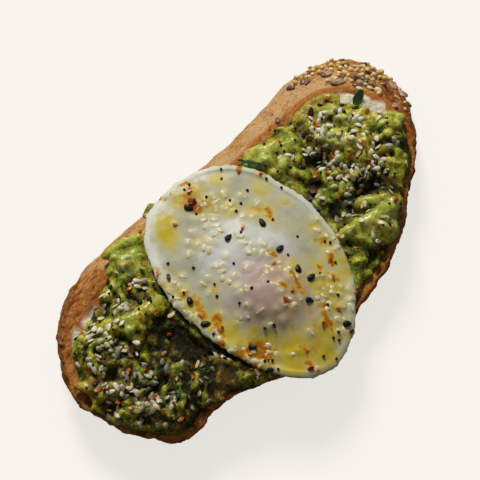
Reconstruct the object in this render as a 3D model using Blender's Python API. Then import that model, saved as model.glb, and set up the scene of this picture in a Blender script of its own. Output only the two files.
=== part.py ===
"""Avocado toast: a slice of seeded bread cut on the slant, thick mashed avocado, and a soft fried egg.

Lengths in the constants are millimetres. The slice lies with its long side along X. The crust leans outwards
at its +X end and its +Y side, because the loaf was cut on the slant. Z is up, and it stands on Z = 0.
"""

import math

import bmesh
import bpy
from mathutils import Vector, noise

MILLIMETRE = 0.001
LAYER_GAP = 0.3  # kept between two layers that touch

# Bread. A corner of the upper cut face is X, Y, and how far the crust's foot reaches out past it.
# The outline is read anticlockwise from the pointed end.
SLICE_THICKNESS = 16.0
CUT_FACE = [
    (78, -9, 16), (73, 6, 26), (62, 15, 21), (44, 18, 15), (18, 19, 14), (-12, 22, 14), (-45, 25, 13),
    (-66, 23, 11), (-80, 18, 5), (-91, 8, 0), (-98, -5, -4), (-97, -20, -6), (-90, -35, -5),
    (-78, -45, -4), (-62, -45, -6), (-44, -54, -6), (-18, -58, -5), (12, -57, -5), (36, -51, -4),
    (56, -39, -3), (69, -31, -2), (77, -20, 4),
]
CRUST_BULGE = 2.4
CRUST_FULLNESS = 0.8  # under 1, the crust swells out sooner below the cut face
CRUST_RELIEF = 0.9
CRUST_LUMP = 9.0
FOOT_RADIUS = 2.5
FOOT_START = 0.7  # the share of the way down at which the crust starts to round under
CUT_SPINE = (-58.0, 42.0, -16.0)  # from X, to X, at Y: the line that the rings close in on
BASE_SPINE = (-54.0, 50.0, -8.0)

# Avocado: spread almost to the crust, and deeper at both ends than under the egg.
MASH_INSET = 1.6
MASH_EDGE_WANDER = 2.0
MASH_EDGE_LUMP = 7.5
MASH_EDGE_SEED = 11.0
MASH_EDGE_LOBES = [  # X, Y, radius, and how far the edge is moved out there, or drawn back
    (-44, 26, 6, 6.5), (-71, 22, 9, -6.0), (-56, 25, 6, -2.0), (73, 5, 9, -6.0), (78, -9, 6, -3.5),
    (70, -31, 6, 1.5), (38, -52, 6, 1.5),
]
MASH_DEPTH = 5.6
MASH_EDGE_DEPTH = 2.2
MASH_SHOULDER = 9.0
MASH_MOUNDS = [  # X, Y, radius, and height, or depth of a hollow
    (30, -42, 10, 2.6), (46, -43, 8, 2.4), (32, -27, 9, -2.6), (27, 12, 8, 1.8), (58, 10, 7, 1.6),
    (70, -20, 9, 2.4), (54, -4, 11, 2.4), (41, -8, 6, -1.6), (45, -29, 6, -1.4), (-46, 21, 9, 2.2),
    (-57, 2, 10, 2.6), (-56, -24, 10, -2.6), (-92, -5, 7, 2.2), (-84, 6, 7, 1.6), (-75, -38, 9, 2.0),
    (-64, -30, 7, 1.8), (-49, -41, 8, 2.0), (-74, -9, 9, 1.4),
]
MASH_ROUGHNESS = ((14.0, 1.3, 20.0), (5.5, 1.0, 21.0))  # size, height and seed of the lumps
EGG_PRESS = 2.0  # how far past the egg's edge the avocado is still pressed flat
PRESS_SLOPE = 1.2

# Egg: a long oval laid across the slice, hanging over its near edge, with the yolk off its middle.
EGG_OUTLINE = [
    (23, -13), (20, 7), (12, 21), (0, 28), (-16, 30), (-30, 24), (-40, 10), (-46, -9),
    (-46, -28), (-43, -46), (-35, -63), (-22, -71), (-8, -67), (3, -58), (14, -45), (21, -29),
]
EGG_EDGE_WANDER = 0.8
EGG_EDGE_LUMP = 8.0
EGG_EDGE_SEED = 5.5
EGG_REST_HEIGHT = 20.8
EGG_WAVE = 0.5
EGG_WAVE_LENGTH = 18.0
EGG_WAVE_SEED = 3.7
EGG_CLEARANCE = 0.2  # more than the layer gap, because both layers are faceted
NEAR_SUPPORT, NEAR_SAG = -52.0, 0.010  # past this Y it hangs free; its fall grows with the distance squared
FAR_SUPPORT, FAR_SAG = 16.0, 0.012
RIM_THICKNESS = 3.0
RIM_LOWEST = 0.45  # the share of that thickness left at the very edge
RIM_SQUARENESS = 12
PLATEAU_HEIGHT = 3.2
PLATEAU_CENTRE = Vector((-14.0, -24.0))
PLATEAU_RADII = (19.0, 29.0)
PLATEAU_FOOT, PLATEAU_SLOPE = 1.32, 0.72  # in plateau radii: where its slope ends, and how wide it is
YOLK_CENTRE = Vector((-19.5, -33.0))
YOLK_RADIUS = 17.0
YOLK_RISE = 5.6
YOLK_FULLNESS = 0.8
RIPPLE = 0.25
RIPPLE_LENGTH = 7.0
RIPPLE_SEED = 8.1

# Mesh density: points around each outline, and rings between outline and middle.
CURVE_STEPS = 24
INNERMOST = 0.05
SHARP_ANGLE = math.radians(50)
BREAD_AROUND, BREAD_FACE_RINGS, BREAD_CRUST_RINGS = 100, 4, 8
MASH_AROUND, MASH_TOP_RINGS, MASH_BASE_RINGS = 136, 11, 3
EGG_AROUND, EGG_TOP_RINGS, EGG_BASE_RINGS = 80, 13, 8
EGG_RING_CROWDING = 0.85  # under 1, the egg's rings stand closer together towards its edge
FINE_EGG_AROUND = 320
LAST_TOP_RING, LAST_BASE_RING = 0.985, 0.97  # shares of the way out, for the rings next to an edge


def smooth_step(value):
    value = min(1.0, max(0.0, value))
    return value * value * (3 - 2 * value)


def wander(x, y, size, seed):
    """Smooth noise from -1 to 1, with lumps of about the size given."""
    return noise.noise(Vector((x / size, y / size, seed)))


def spread(x, y, spots):
    """The sum of soft round bumps, each given as X, Y, radius and height."""
    total = 0.0
    for centre_x, centre_y, radius, height in spots:
        total += height * math.exp(-((math.hypot(x - centre_x, y - centre_y) / radius) ** 2))
    return total


def closed_curve(corners, count):
    """Points evenly spaced along a closed Catmull-Rom curve through the corners."""
    fine = []
    for i in range(len(corners)):
        a, b, c, d = (Vector(corners[(i + k) % len(corners)]) for k in (-1, 0, 1, 2))
        for step in range(CURVE_STEPS):
            t = step / CURVE_STEPS
            bend = (2 * a - 5 * b + 4 * c - d) * t**2 + (3 * b - a - 3 * c + d) * t**3
            fine.append(0.5 * (2 * b + (c - a) * t + bend))
    lengths = [(fine[(i + 1) % len(fine)] - p).xy.length for i, p in enumerate(fine)]
    spacing = sum(lengths) / count
    points, travelled = [], 0.0
    for i, length in enumerate(lengths):
        while len(points) * spacing < travelled + length and len(points) < count:
            share = (len(points) * spacing - travelled) / length
            points.append(fine[i].lerp(fine[(i + 1) % len(fine)], share))
        travelled += length
    return points


def outward(points, i):
    """The outline's outward direction at point i, for an anticlockwise outline."""
    along = (points[(i + 1) % len(points)].xy - points[i - 1].xy).normalized()
    return Vector((along.y, -along.x))


def moved_out(points, distance_at):
    return [p.xy + outward(points, i) * distance_at(p) for i, p in enumerate(points)]


def toward_spine(p, share, spine):
    """The point a share of the way out from the spine, a line along X, to p."""
    start_x, end_x, spine_y = spine
    nearest = Vector((min(end_x, max(start_x, p[0])), spine_y))
    return nearest.lerp(Vector(p[:2]), share)


def flat_rings(outline, shares, spine, height):
    return [[(*toward_spine(p, share, spine), height) for p in outline] for share in shares]


def plain_material(name, colour, roughness):
    material = bpy.data.materials.new(name)
    material.use_nodes = True
    shader = material.node_tree.nodes["Principled BSDF"]
    shader.inputs["Base Color"].default_value = (*colour, 1)
    shader.inputs["Roughness"].default_value = roughness
    shader.inputs["Metallic"].default_value = 0.0
    return material


def solid_from_rings(name, rings, material):
    """One closed solid through rings that run from the middle of the top round to the middle of the base."""
    mesh = bmesh.new()
    loops = [[mesh.verts.new(Vector(p) * MILLIMETRE) for p in ring] for ring in rings]
    count = len(rings[0])
    for upper, lower in zip(loops, loops[1:]):
        for i in range(count):
            j = (i + 1) % count
            mesh.faces.new((upper[i], lower[i], lower[j], upper[j]))
    top = mesh.faces.new(loops[0])
    base = mesh.faces.new(reversed(loops[-1]))
    bmesh.ops.triangulate(mesh, faces=[top, base], ngon_method="BEAUTY")
    bmesh.ops.recalc_face_normals(mesh, faces=mesh.faces)
    data = bpy.data.meshes.new(name)
    mesh.to_mesh(data)
    mesh.free()
    data.shade_smooth()
    data.set_sharp_from_angle(angle=SHARP_ANGLE)
    data.materials.append(material)
    made = bpy.data.objects.new(name, data)
    bpy.context.scene.collection.objects.link(made)
    return made


def crust_ring(edge, down):
    """The crust at a share of the way down: it leans out, swells at half height, and rounds under."""
    height = SLICE_THICKNESS * (1 - down)
    middle = math.sin(math.pi * down)
    swell = CRUST_BULGE * max(0.0, middle) ** CRUST_FULLNESS
    tuck = FOOT_RADIUS * smooth_step((down - FOOT_START) / (1 - FOOT_START))
    ring = []
    for i, p in enumerate(edge):
        reach = p.z * down
        relief = CRUST_RELIEF * middle * wander(p.x, p.y, CRUST_LUMP, height / CRUST_LUMP)
        q = p.xy + outward(edge, i) * (reach + swell + relief - tuck)
        ring.append((q.x, q.y, height))
    return ring


def bread():
    """The slice: two flat cut faces, the lower one shifted by the slant, and the crust between them."""
    edge = closed_curve(CUT_FACE, BREAD_AROUND)
    shares = [INNERMOST] + [k / BREAD_FACE_RINGS for k in range(1, BREAD_FACE_RINGS)]
    rings = flat_rings(edge, shares, CUT_SPINE, SLICE_THICKNESS)
    for k in range(BREAD_CRUST_RINGS + 1):
        rings.append(crust_ring(edge, k / BREAD_CRUST_RINGS))
    rings += flat_rings(rings[-1], reversed(shares), BASE_SPINE, 0.0)
    crust = plain_material("toasted bread", (0.52, 0.27, 0.11), 0.75)
    return solid_from_rings("bread_slice", rings, crust)


def egg_edge(count):
    """The egg's outline, slightly ragged."""
    outline = closed_curve(EGG_OUTLINE, count)
    return moved_out(outline, lambda p: EGG_EDGE_WANDER * wander(p.x, p.y, EGG_EDGE_LUMP, EGG_EDGE_SEED))


def past_edge(x, y, outline):
    """How far (x, y) lies past the egg's outline, on the line from its middle; under 0 inside."""
    centre = sum(outline, Vector((0, 0))) / len(outline)
    away = Vector((x, y)) - centre
    edge = max(outline, key=lambda p: (p - centre).normalized().dot(away.normalized()))
    return away.length - (edge - centre).length


def egg_underside(x, y):
    """The height of the egg's underside: level on the avocado, and sagging past what holds it up."""
    near = max(0.0, NEAR_SUPPORT - y)
    far = max(0.0, y - FAR_SUPPORT)
    wave = EGG_WAVE * wander(x, y, EGG_WAVE_LENGTH, EGG_WAVE_SEED)
    return EGG_REST_HEIGHT + wave - NEAR_SAG * near**2 - FAR_SAG * far**2


def egg_thickness(x, y, share_out):
    """A thin rim, a raised middle of thick white, and the yolk's dome standing on it."""
    plateau_x = (x - PLATEAU_CENTRE.x) / PLATEAU_RADII[0]
    plateau_y = (y - PLATEAU_CENTRE.y) / PLATEAU_RADII[1]
    up_slope = (PLATEAU_FOOT - math.hypot(plateau_x, plateau_y)) / PLATEAU_SLOPE
    plateau = PLATEAU_HEIGHT * smooth_step(up_slope)
    off_yolk = (Vector((x, y)) - YOLK_CENTRE).length / YOLK_RADIUS
    dome = YOLK_RISE * smooth_step(1 - off_yolk) ** YOLK_FULLNESS
    rounding = math.sqrt(max(0.0, 1 - share_out**RIM_SQUARENESS))
    rim = RIM_THICKNESS * (RIM_LOWEST + (1 - RIM_LOWEST) * rounding)
    return rim + plateau + dome + RIPPLE * wander(x, y, RIPPLE_LENGTH, RIPPLE_SEED)


def egg():
    """The fried egg, a thin closed dish: a domed top, a round rim, and an underside that fits the mash."""
    outline = egg_edge(EGG_AROUND)
    centre = sum(outline, Vector((0, 0))) / len(outline)
    shares = [(k / EGG_TOP_RINGS) ** EGG_RING_CROWDING for k in range(1, EGG_TOP_RINGS)]
    rings = []
    for share in [INNERMOST, *shares, LAST_TOP_RING]:
        ring = []
        for p in (centre.lerp(p, share) for p in outline):
            ring.append((p.x, p.y, egg_underside(p.x, p.y) + egg_thickness(p.x, p.y, share)))
        rings.append(ring)
    rim_middle = RIM_LOWEST * RIM_THICKNESS
    rings.append([(p.x, p.y, egg_underside(p.x, p.y) + rim_middle) for p in outline])
    shares = [k / EGG_BASE_RINGS for k in range(EGG_BASE_RINGS - 1, 0, -1)]
    for share in [LAST_BASE_RING, *shares, INNERMOST]:
        points = [centre.lerp(p, share) for p in outline]
        rings.append([(p.x, p.y, egg_underside(p.x, p.y)) for p in points])
    return solid_from_rings("fried_egg", rings, plain_material("egg white", (0.80, 0.78, 0.68), 0.3))


def mash_height(x, y, from_edge, egg_outline):
    """The top of the avocado: mounds and lumps, rounded off at its edge, and pressed flat under the egg."""
    depth = MASH_DEPTH + spread(x, y, MASH_MOUNDS)
    for size, height, seed in MASH_ROUGHNESS:
        depth += height * wander(x, y, size, seed)
    rounding = math.sqrt(smooth_step(from_edge / MASH_SHOULDER))
    depth = MASH_EDGE_DEPTH + max(depth - MASH_EDGE_DEPTH, 0.0) * rounding
    top = SLICE_THICKNESS + LAYER_GAP + depth
    free = max(0.0, past_edge(x, y, egg_outline) - EGG_PRESS)
    ceiling = egg_underside(x, y) - LAYER_GAP - EGG_CLEARANCE + PRESS_SLOPE * free
    return min(top, ceiling)


def avocado():
    """The mash, one body: its ragged edge stands just inside the crust, and it runs on under the egg."""
    def edge_shift(p):
        ragged = MASH_EDGE_WANDER * wander(p.x, p.y, MASH_EDGE_LUMP, MASH_EDGE_SEED)
        return ragged + spread(p.x, p.y, MASH_EDGE_LOBES) - MASH_INSET

    egg_outline = egg_edge(FINE_EGG_AROUND)
    edge = moved_out(closed_curve(CUT_FACE, MASH_AROUND), edge_shift)
    floor = SLICE_THICKNESS + LAYER_GAP
    rings = []
    for k in range(MASH_TOP_RINGS + 1):
        share = INNERMOST + (LAST_TOP_RING - INNERMOST) * k / MASH_TOP_RINGS
        ring = []
        for p in edge:
            q = toward_spine(p, share, CUT_SPINE)
            ring.append((q.x, q.y, mash_height(q.x, q.y, (p - q).length, egg_outline)))
        rings.append(ring)
    rings.append([(p.x, p.y, floor + MASH_EDGE_DEPTH / 2) for p in edge])
    shares = [k / MASH_BASE_RINGS for k in range(MASH_BASE_RINGS - 1, 0, -1)]
    rings += flat_rings(edge, [LAST_BASE_RING, *shares, INNERMOST], CUT_SPINE, floor)
    flesh = plain_material("mashed avocado", (0.30, 0.34, 0.05), 0.45)
    return solid_from_rings("avocado_mash", rings, flesh)


def stand_at_origin(pieces):
    """Shifts the pieces so that the origin is at the middle of the underside of their common box."""
    corners = [v.co for piece in pieces for v in piece.data.vertices]
    middle = [(min(c[axis] for c in corners) + max(c[axis] for c in corners)) / 2 for axis in (0, 1)]
    shift = Vector((-middle[0], -middle[1], 0.0))
    for piece in pieces:
        for vertex in piece.data.vertices:
            vertex.co += shift


for old in list(bpy.data.objects):
    bpy.data.objects.remove(old)
stand_at_origin([bread(), avocado(), egg()])
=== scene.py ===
"""Avocado toast with a fried egg: its baked, spread and sprinkled surfaces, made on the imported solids."""

import math
import random

import bmesh
import bpy
import numpy as np
from mathutils import Matrix, Vector, noise
from mathutils.bvhtree import BVHTree
from mathutils.kdtree import KDTree


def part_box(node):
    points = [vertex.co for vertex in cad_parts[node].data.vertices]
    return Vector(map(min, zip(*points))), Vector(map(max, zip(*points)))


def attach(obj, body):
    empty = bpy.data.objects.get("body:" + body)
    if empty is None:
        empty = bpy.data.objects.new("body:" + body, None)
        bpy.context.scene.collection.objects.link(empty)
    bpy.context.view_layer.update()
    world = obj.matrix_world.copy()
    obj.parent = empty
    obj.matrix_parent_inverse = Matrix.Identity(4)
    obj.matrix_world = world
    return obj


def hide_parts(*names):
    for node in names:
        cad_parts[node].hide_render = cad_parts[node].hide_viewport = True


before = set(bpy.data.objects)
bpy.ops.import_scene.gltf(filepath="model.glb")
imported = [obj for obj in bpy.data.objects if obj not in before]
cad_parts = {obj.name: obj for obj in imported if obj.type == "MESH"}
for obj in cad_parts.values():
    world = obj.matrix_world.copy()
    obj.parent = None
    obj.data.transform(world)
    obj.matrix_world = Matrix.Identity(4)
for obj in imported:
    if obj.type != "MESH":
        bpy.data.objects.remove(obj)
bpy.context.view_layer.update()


# ---------------------------------------------------------------- Table, window light and camera
# A pale table top in a bright room, and one large soft window behind the toast. The camera looks down on it
# from the near left, through a long lens. None of these is part of the toast.

MM = 0.001
slice_low, slice_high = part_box("bread_slice")
centre = (slice_low + slice_high) / 2 / MM + Vector((-8.1, -9.7, 0.0))  # under the egg
centre.z = 0.0  # every place on the toast is counted in millimetres from here

CAMERA_AZIMUTH, CAMERA_ELEVATION = math.radians(-48), math.radians(66)
LENS, VIEW_WIDTH = 200.0, 192 * MM
aim = (centre + Vector((10.0, 20.9, 0.0))) * MM
back = Vector((
    math.sin(CAMERA_AZIMUTH) * math.cos(CAMERA_ELEVATION),
    -math.cos(CAMERA_AZIMUTH) * math.cos(CAMERA_ELEVATION),
    math.sin(CAMERA_ELEVATION),
))
camera = bpy.data.objects.new("camera", bpy.data.cameras.new("camera"))
camera.data.lens = LENS
camera.location = aim + back * (VIEW_WIDTH * LENS / camera.data.sensor_width)
camera.rotation_euler = (-back).to_track_quat("-Z", "Y").to_euler()
bpy.context.scene.collection.objects.link(camera)
bpy.context.scene.camera = camera
bpy.context.scene.view_settings.view_transform = "Standard"


def put(tree, kind, feeds=(), **settings):
    """Adds a node. feeds pairs an input, by name or number, with a value or with another node's output."""
    made = tree.nodes.new(kind)
    for name, value in settings.items():
        setattr(made, name, value)
    for key, value in dict(feeds).items():
        if isinstance(value, bpy.types.NodeSocket):
            tree.links.new(value, made.inputs[key])
        else:
            made.inputs[key].default_value = value
    return made


TABLE_TINT = (0.93, 0.90, 0.85, 1)
table_mesh = bpy.data.meshes.new("table")
reach, level = 3.0, -0.0002
corners = [(-reach, -reach, level), (reach, -reach, level), (reach, reach, level), (-reach, reach, level)]
table_mesh.from_pydata(corners, [], [(0, 1, 2, 3)])
table = bpy.data.objects.new("table", table_mesh)
bpy.context.scene.collection.objects.link(table)
table_paint = bpy.data.materials.new("pale table")
table_paint.use_nodes = True
tree = table_paint.node_tree
tree.nodes.clear()
lit = put(tree, "ShaderNodeBsdfDiffuse", {"Color": [0.26 * part for part in TABLE_TINT[:3]] + [1]})
glow = put(tree, "ShaderNodeEmission", {"Color": TABLE_TINT, "Strength": 0.81})
shown = put(tree, "ShaderNodeAddShader", {0: lit.outputs[0], 1: glow.outputs[0]})
dim = put(tree, "ShaderNodeBsdfDiffuse", {"Color": (0.24, 0.23, 0.21, 1)})
seen = put(tree, "ShaderNodeLightPath").outputs["Is Camera Ray"]
either = put(tree, "ShaderNodeMixShader", {0: seen, 1: dim.outputs[0], 2: shown.outputs[0]})
put(tree, "ShaderNodeOutputMaterial", {"Surface": either.outputs[0]})
table_mesh.materials.append(table_paint)

room = bpy.data.worlds.new("bright room")
room.use_nodes = True
tree = room.node_tree
seen = put(tree, "ShaderNodeLightPath").outputs["Is Camera Ray"]
strength = put(tree, "ShaderNodeMapRange", {0: seen, "To Min": 0.17, "To Max": 1.0})
tree.nodes["Background"].inputs["Color"].default_value = (0.93, 0.92, 0.90, 1)
tree.links.new(strength.outputs[0], tree.nodes["Background"].inputs["Strength"])
bpy.context.scene.world = room

WINDOW_AZIMUTH, WINDOW_ELEVATION, WINDOW_SPREAD = math.radians(34), math.radians(40), math.radians(20)
away = Vector((
    math.sin(WINDOW_AZIMUTH) * math.cos(WINDOW_ELEVATION),
    math.cos(WINDOW_AZIMUTH) * math.cos(WINDOW_ELEVATION),
    math.sin(WINDOW_ELEVATION),
))
window = bpy.data.objects.new("window", bpy.data.lights.new("window", "SUN"))
window.data.energy = 2.9
window.data.angle = WINDOW_SPREAD
window.data.color = (1.0, 0.965, 0.91)
window.rotation_euler = (-away).to_track_quat("-Z", "Y").to_euler()
bpy.context.scene.collection.objects.link(window)


# ---------------------------------------------------------------- Toasted slice
# A hand-cut slice of a seeded wheat loaf, one baked piece. Its crust is floured and tan where the loaf
# rose, and red to dark brown round the sides it was baked against. The crumb shows where the spread ends.

CRUST_VOXEL = 0.72


def copy_of(node, name):
    """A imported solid's mesh as a new piece, with the corners of its loose triangles merged."""
    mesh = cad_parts[node].data.copy()
    edit = bmesh.new()
    edit.from_mesh(mesh)
    bmesh.ops.remove_doubles(edit, verts=edit.verts, dist=1e-6)
    edit.to_mesh(mesh)
    edit.free()
    mesh.materials.clear()
    piece = bpy.data.objects.new(name, mesh)
    bpy.context.scene.collection.objects.link(piece)
    return piece


def applied(piece):
    """Turns a piece's modifiers into plain mesh."""
    bpy.context.view_layer.update()
    evaluated = piece.evaluated_get(bpy.context.evaluated_depsgraph_get())
    mesh = bpy.data.meshes.new_from_object(evaluated)
    piece.modifiers.clear()
    piece.data = mesh
    return piece


def remeshed(piece, voxel):
    """Joins a piece's bodies into one even skin of small faces."""
    skin = piece.modifiers.new("skin", "REMESH")
    skin.mode = "VOXEL"
    skin.voxel_size = voxel * MM
    return applied(piece)


def surface_of(piece):
    """A piece's points, in millimetres from the centre, and the outward directions there."""
    count = len(piece.data.vertices)
    points, outward = np.empty(count * 3), np.empty(count * 3)
    piece.data.vertices.foreach_get("co", points)
    piece.data.vertex_normals.foreach_get("vector", outward)
    return points.reshape(-1, 3) / MM - centre, outward.reshape(-1, 3)


def reshape(piece, points):
    piece.data.vertices.foreach_set("co", ((points + centre) * MM).ravel())
    piece.data.update()


def lumps(points, size, seed=0.0, squash=(1, 1, 1)):
    """Smooth noise from -1 to 1 at each point, with lumps of about the size given."""
    return np.array([noise.noise(q) for q in (points / size / squash + seed).tolist()])


def eased(values, low, high):
    """0 at low and below, 1 at high and above, and smooth between."""
    share = np.clip((values - low) / (high - low), 0, 1)
    return share * share * (3 - 2 * share)


def wander(points, size, seeds):
    """A smooth sideways drift of each point, one seed for each direction."""
    return np.column_stack([lumps(points, size, seed) for seed in seeds])


def spots(points, places, gather=np.maximum):
    """Soft round spots, each an X, Y, radius and strength: the strongest of them at each point, or gathered
    in another way, as by np.add.
    """
    total = np.zeros(len(points))
    for x, y, radius, strength in places:
        away = np.hypot(points[:, 0] - x, points[:, 1] - y) / radius
        total = gather(total, strength * np.exp(-away * away))
    return total


def paint(piece, name, values):
    """Writes a mask onto a piece's points, for its material to read."""
    layer = piece.data.attributes.new(name, "FLOAT", "POINT")
    layer.data.foreach_set("value", np.asarray(values, np.float32))


def evened(piece, values, rounds):
    """Values averaged with those of neighbouring points, a number of times."""
    ends = np.empty(2 * len(piece.data.edges), np.int64)
    piece.data.edges.foreach_get("vertices", ends)
    one, other = ends.reshape(-1, 2).T
    size = len(values)
    neighbours = np.bincount(one, minlength=size) + np.bincount(other, minlength=size)
    for _ in range(rounds):
        near = np.bincount(one, values[other], size) + np.bincount(other, values[one], size)
        values = (values + near) / (1 + neighbours)
    return values


def evened_points(piece, points, rounds):
    return np.column_stack([evened(piece, points[:, axis], rounds) for axis in range(3)])


toast = remeshed(copy_of("bread_slice", "toasted_slice"), CRUST_VOXEL)
points, outward = surface_of(toast)
points = evened_points(toast, points, 2)
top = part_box("bread_slice")[1].z / MM
NEAR, TUCK, TUCK_TOP = (-0.743, -0.669), 7.5, 13  # this side rounds in under the slice, below this height
near_side = eased(outward[:, 0] * NEAR[0] + outward[:, 1] * NEAR[1], 0.0, 0.5)
tucked = near_side * (1 - np.clip(points[:, 2] / TUCK_TOP, 0, 1)) ** 1.2
HOLLOWS = [  # X, Y, radius, depth of the dips in its outline
    (-38, -31, 10, 4.6), (-90, 4, 9, 4.0), (-80, -11, 8, 3.0), (-93, 20, 7, 2.2),
]
pull = outward * (1, 1, 0) * (TUCK * tucked + spots(points, HOLLOWS))[:, None]
points -= evened_points(toast, pull, 40) * (1 - 0.3 * eased(points[:, 2], top - 2, top))[:, None]
on_cut_face = np.maximum(
    eased(outward[:, 2], 0.75, 0.95) * eased(points[:, 2], top - 1.0, top - 0.4),
    eased(-outward[:, 2], 0.75, 0.95) * eased(-points[:, 2], -1.0, -0.4),
)
crumb = np.clip(evened(toast, on_cut_face, 2), 0, 1)
inward = eased(evened(toast, crumb, 40), 0.62, 0.98)  # 0 at the crust, 1 a few millimetres in
LOAF_TOP = (0.45, 0.89)  # the direction in which the loaf rose
level = np.hypot(outward[:, 0], outward[:, 1]) + 1e-6
risen = (outward[:, 0] * LOAF_TOP[0] + outward[:, 1] * LOAF_TOP[1]) / level
risen = evened(toast, risen * (1 - crumb), 12)
ends = eased(-points[:, 0], 24, 60) + 0.35 * eased(points[:, 0], 80, 100)
bake = 0.90 * eased(-risen, -0.9, 0.6) + 0.44 * ends * eased(risen, -0.2, 0.7) + 0.06
bake += 0.20 * lumps(points, 13, 3.1) + 0.16 * lumps(points, 5, 9.2)
TOASTED = [(88, 28, 9, 0.25), (90, 15, 9, 0.35), (84, 13, 5, 0.3)]  # X, Y, radius, strength
bake = np.clip(bake + spots(points, TOASTED) - spots(points, [(60, 50, 16, 0.12)]), 0, 1)
lip = evened(toast, crumb, 14)
lip = eased(lip, 0.02, 0.22) * (1 - eased(lip, 0.5, 0.9)) * eased(points[:, 2], 9, 14)

crust = 1 - crumb
blistered = eased(bake, 0.2, 0.5)
torn = eased(bake, 0.6, 0.9)
LOAF_LUMP, CRUST_LUMP, BLISTER, PIMPLE, WRINKLE, TEAR = 9.0, 5.0, 4.6, 1.8, 4.4, 3.6  # sizes on the crust
CRACK_SPACING, CRACK_WIDTH, CRACK_DEPTH = 6.0, 0.07, 0.7
HOLE, PINHOLE, HOLE_DEPTH = 3.2, 1.7, 1.1  # in the crumb
bent = points + 2.4 * wander(points, 4.5, (6.0, 26.0, 46.0))
relief = 0.45 * lumps(points, LOAF_LUMP, 1.7) + 0.40 * lumps(bent, CRUST_LUMP, 2.9)
swollen = (0.14 + 0.60 * blistered) * lumps(bent, BLISTER, 5.0)
swollen = swollen + (0.08 + 0.20 * blistered) * lumps(bent, PIMPLE, 7.0)
swollen += 0.80 * blistered * (np.abs(lumps(bent, WRINKLE, 13.0, squash=(2.2, 1, 1))) - 0.2)
relief += swollen
veins = np.abs(lumps(bent, CRACK_SPACING, 11.0, squash=(1, 1, 0.7)))
cracks = eased(CRACK_WIDTH - veins, 0.01, CRACK_WIDTH) * eased(bake, 0.25, 0.5)
relief -= CRACK_DEPTH * cracks
relief += 0.85 * torn * lumps(points, TEAR, 15.0, squash=(3.0, 3.0, 0.4))
pores = eased(lumps(bent, HOLE, 21.0, squash=(1.7, 1, 1)), 0.22, 0.5)
pores = np.maximum(pores, eased(lumps(bent, PINHOLE, 33.0), 0.34, 0.6))
in_face = 0.45 * lumps(points, 3.5, 17.0) - HOLE_DEPTH * pores
CREAM = [
    (80, 26, 3, 1), (84, 21, 2.6, 1), (86, 14, 3, 1), (76, 29, 2.2, 0.8), (-61, 37, 3, 0.42),
    (-68, 37, 3.5, 0.5),
]
cream = np.clip(spots(points, CREAM) + 0.25 * inward, 0, 1)
cream = np.where(points[:, 2] < 8, inward, cream)
pores *= 1 - 0.6 * cream
shift = outward * (crust * relief + crumb * np.minimum(in_face * (1 - 0.6 * cream), 0.2))[:, None]
resting = 1 - eased(points[:, 2], 0.3, 1.5)  # the underside stays level where it rests
shift[:, 2] = np.where(resting > 0, np.maximum(shift[:, 2], 0), shift[:, 2])
formed = points + shift
formed[:, 2] = np.maximum(formed[:, 2], 0)
reshape(toast, formed)
paint(toast, "crumb", crumb)
paint(toast, "cream", eased(cream + 0.25 * lumps(points, 3.0, 41.0), 0.25, 0.6))
# The bake mask also takes painted light and shade at the ends: the swollen tops of the blisters are painted
# lighter and their hollows darker.
paint(toast, "bake", np.clip(bake - 0.50 * swollen * ends, 0, 1))
paint(toast, "lip", np.clip(lip * (1 + 0.5 * lumps(points, 4.0, 61.0)), 0, 1))
paint(toast, "floured", (1 - ends) * (0.5 + 0.5 * lumps(points, 16.0, 71.0)))
# Painted shade: the crumb's holes and the crust's cracks and sunk hollows are painted dark.
sunk = np.maximum(cracks, eased(-relief, 0.45, 1.2) * blistered)
paint(toast, "recess_shade", np.clip(pores * crumb + 0.55 * crust * sunk, 0, 1))
toast.data.shade_smooth()


def new_group(name, kind, output, output_type, inputs):
    """An empty node group, its inputs' identifiers by name, and the sockets of its two end nodes."""
    group = bpy.data.node_groups.new(name, kind)
    identifiers = {}
    for socket, (socket_type, *value) in inputs.items():
        made = group.interface.new_socket(
            name=socket, in_out="INPUT", socket_type="NodeSocket" + socket_type)
        if value:
            made.default_value = value[0]
        identifiers[socket] = made.identifier
    group.interface.new_socket(name=output, in_out="OUTPUT", socket_type="NodeSocket" + output_type)
    given, result = group.nodes.new("NodeGroupInput").outputs, group.nodes.new("NodeGroupOutput").inputs[0]
    return group, identifiers, given, result


# Small flecks of uneven size, for bran, flour and spice dust.
flecks, _, given, result = new_group("flecks", "ShaderNodeTree", "Mask", "Float", {
    "Place": ("Vector",), "Size": ("Float", 0.001), "Amount": ("Float", 0.2),
})
scale = put(flecks, "ShaderNodeMath", {0: 1.0, 1: given["Size"]}, operation="DIVIDE").outputs[0]
bent = put(flecks, "ShaderNodeTexNoise", {"Vector": given["Place"], "Scale": scale, "Detail": 2.0})
cells = put(flecks, "ShaderNodeTexVoronoi", {"Vector": given["Place"], "Scale": scale, "Randomness": 1.0})
near = put(flecks, "ShaderNodeMath", {0: bent.outputs[0], 1: cells.outputs["Distance"]},
           operation="SUBTRACT")
chosen = put(flecks, "ShaderNodeSeparateColor", {0: cells.outputs["Color"]})
rare = put(flecks, "ShaderNodeMath", {0: given["Amount"], 1: chosen.outputs[0]}, operation="SUBTRACT")
some = put(flecks, "ShaderNodeMath", {0: rare.outputs[0], 1: 6.0}, operation="MULTIPLY", use_clamp=True)
core = put(flecks, "ShaderNodeMapRange", {0: near.outputs[0], 1: 0.0, 2: 0.25})
both = put(flecks, "ShaderNodeMath", {0: core.outputs[0], 1: some.outputs[0]}, operation="MULTIPLY")
flecks.links.new(both.outputs[0], result)


def new_material(name, **finish):
    """A material with its shader's plain values set, its tree, and the Object coordinates."""
    material = bpy.data.materials.new(name)
    material.use_nodes = True
    tree = material.node_tree
    shader = tree.nodes["Principled BSDF"]
    for key, value in finish.items():
        shader.inputs[key.replace("_", " ")].default_value = value
    return material, tree, shader, put(tree, "ShaderNodeTexCoord").outputs["Object"]


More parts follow.
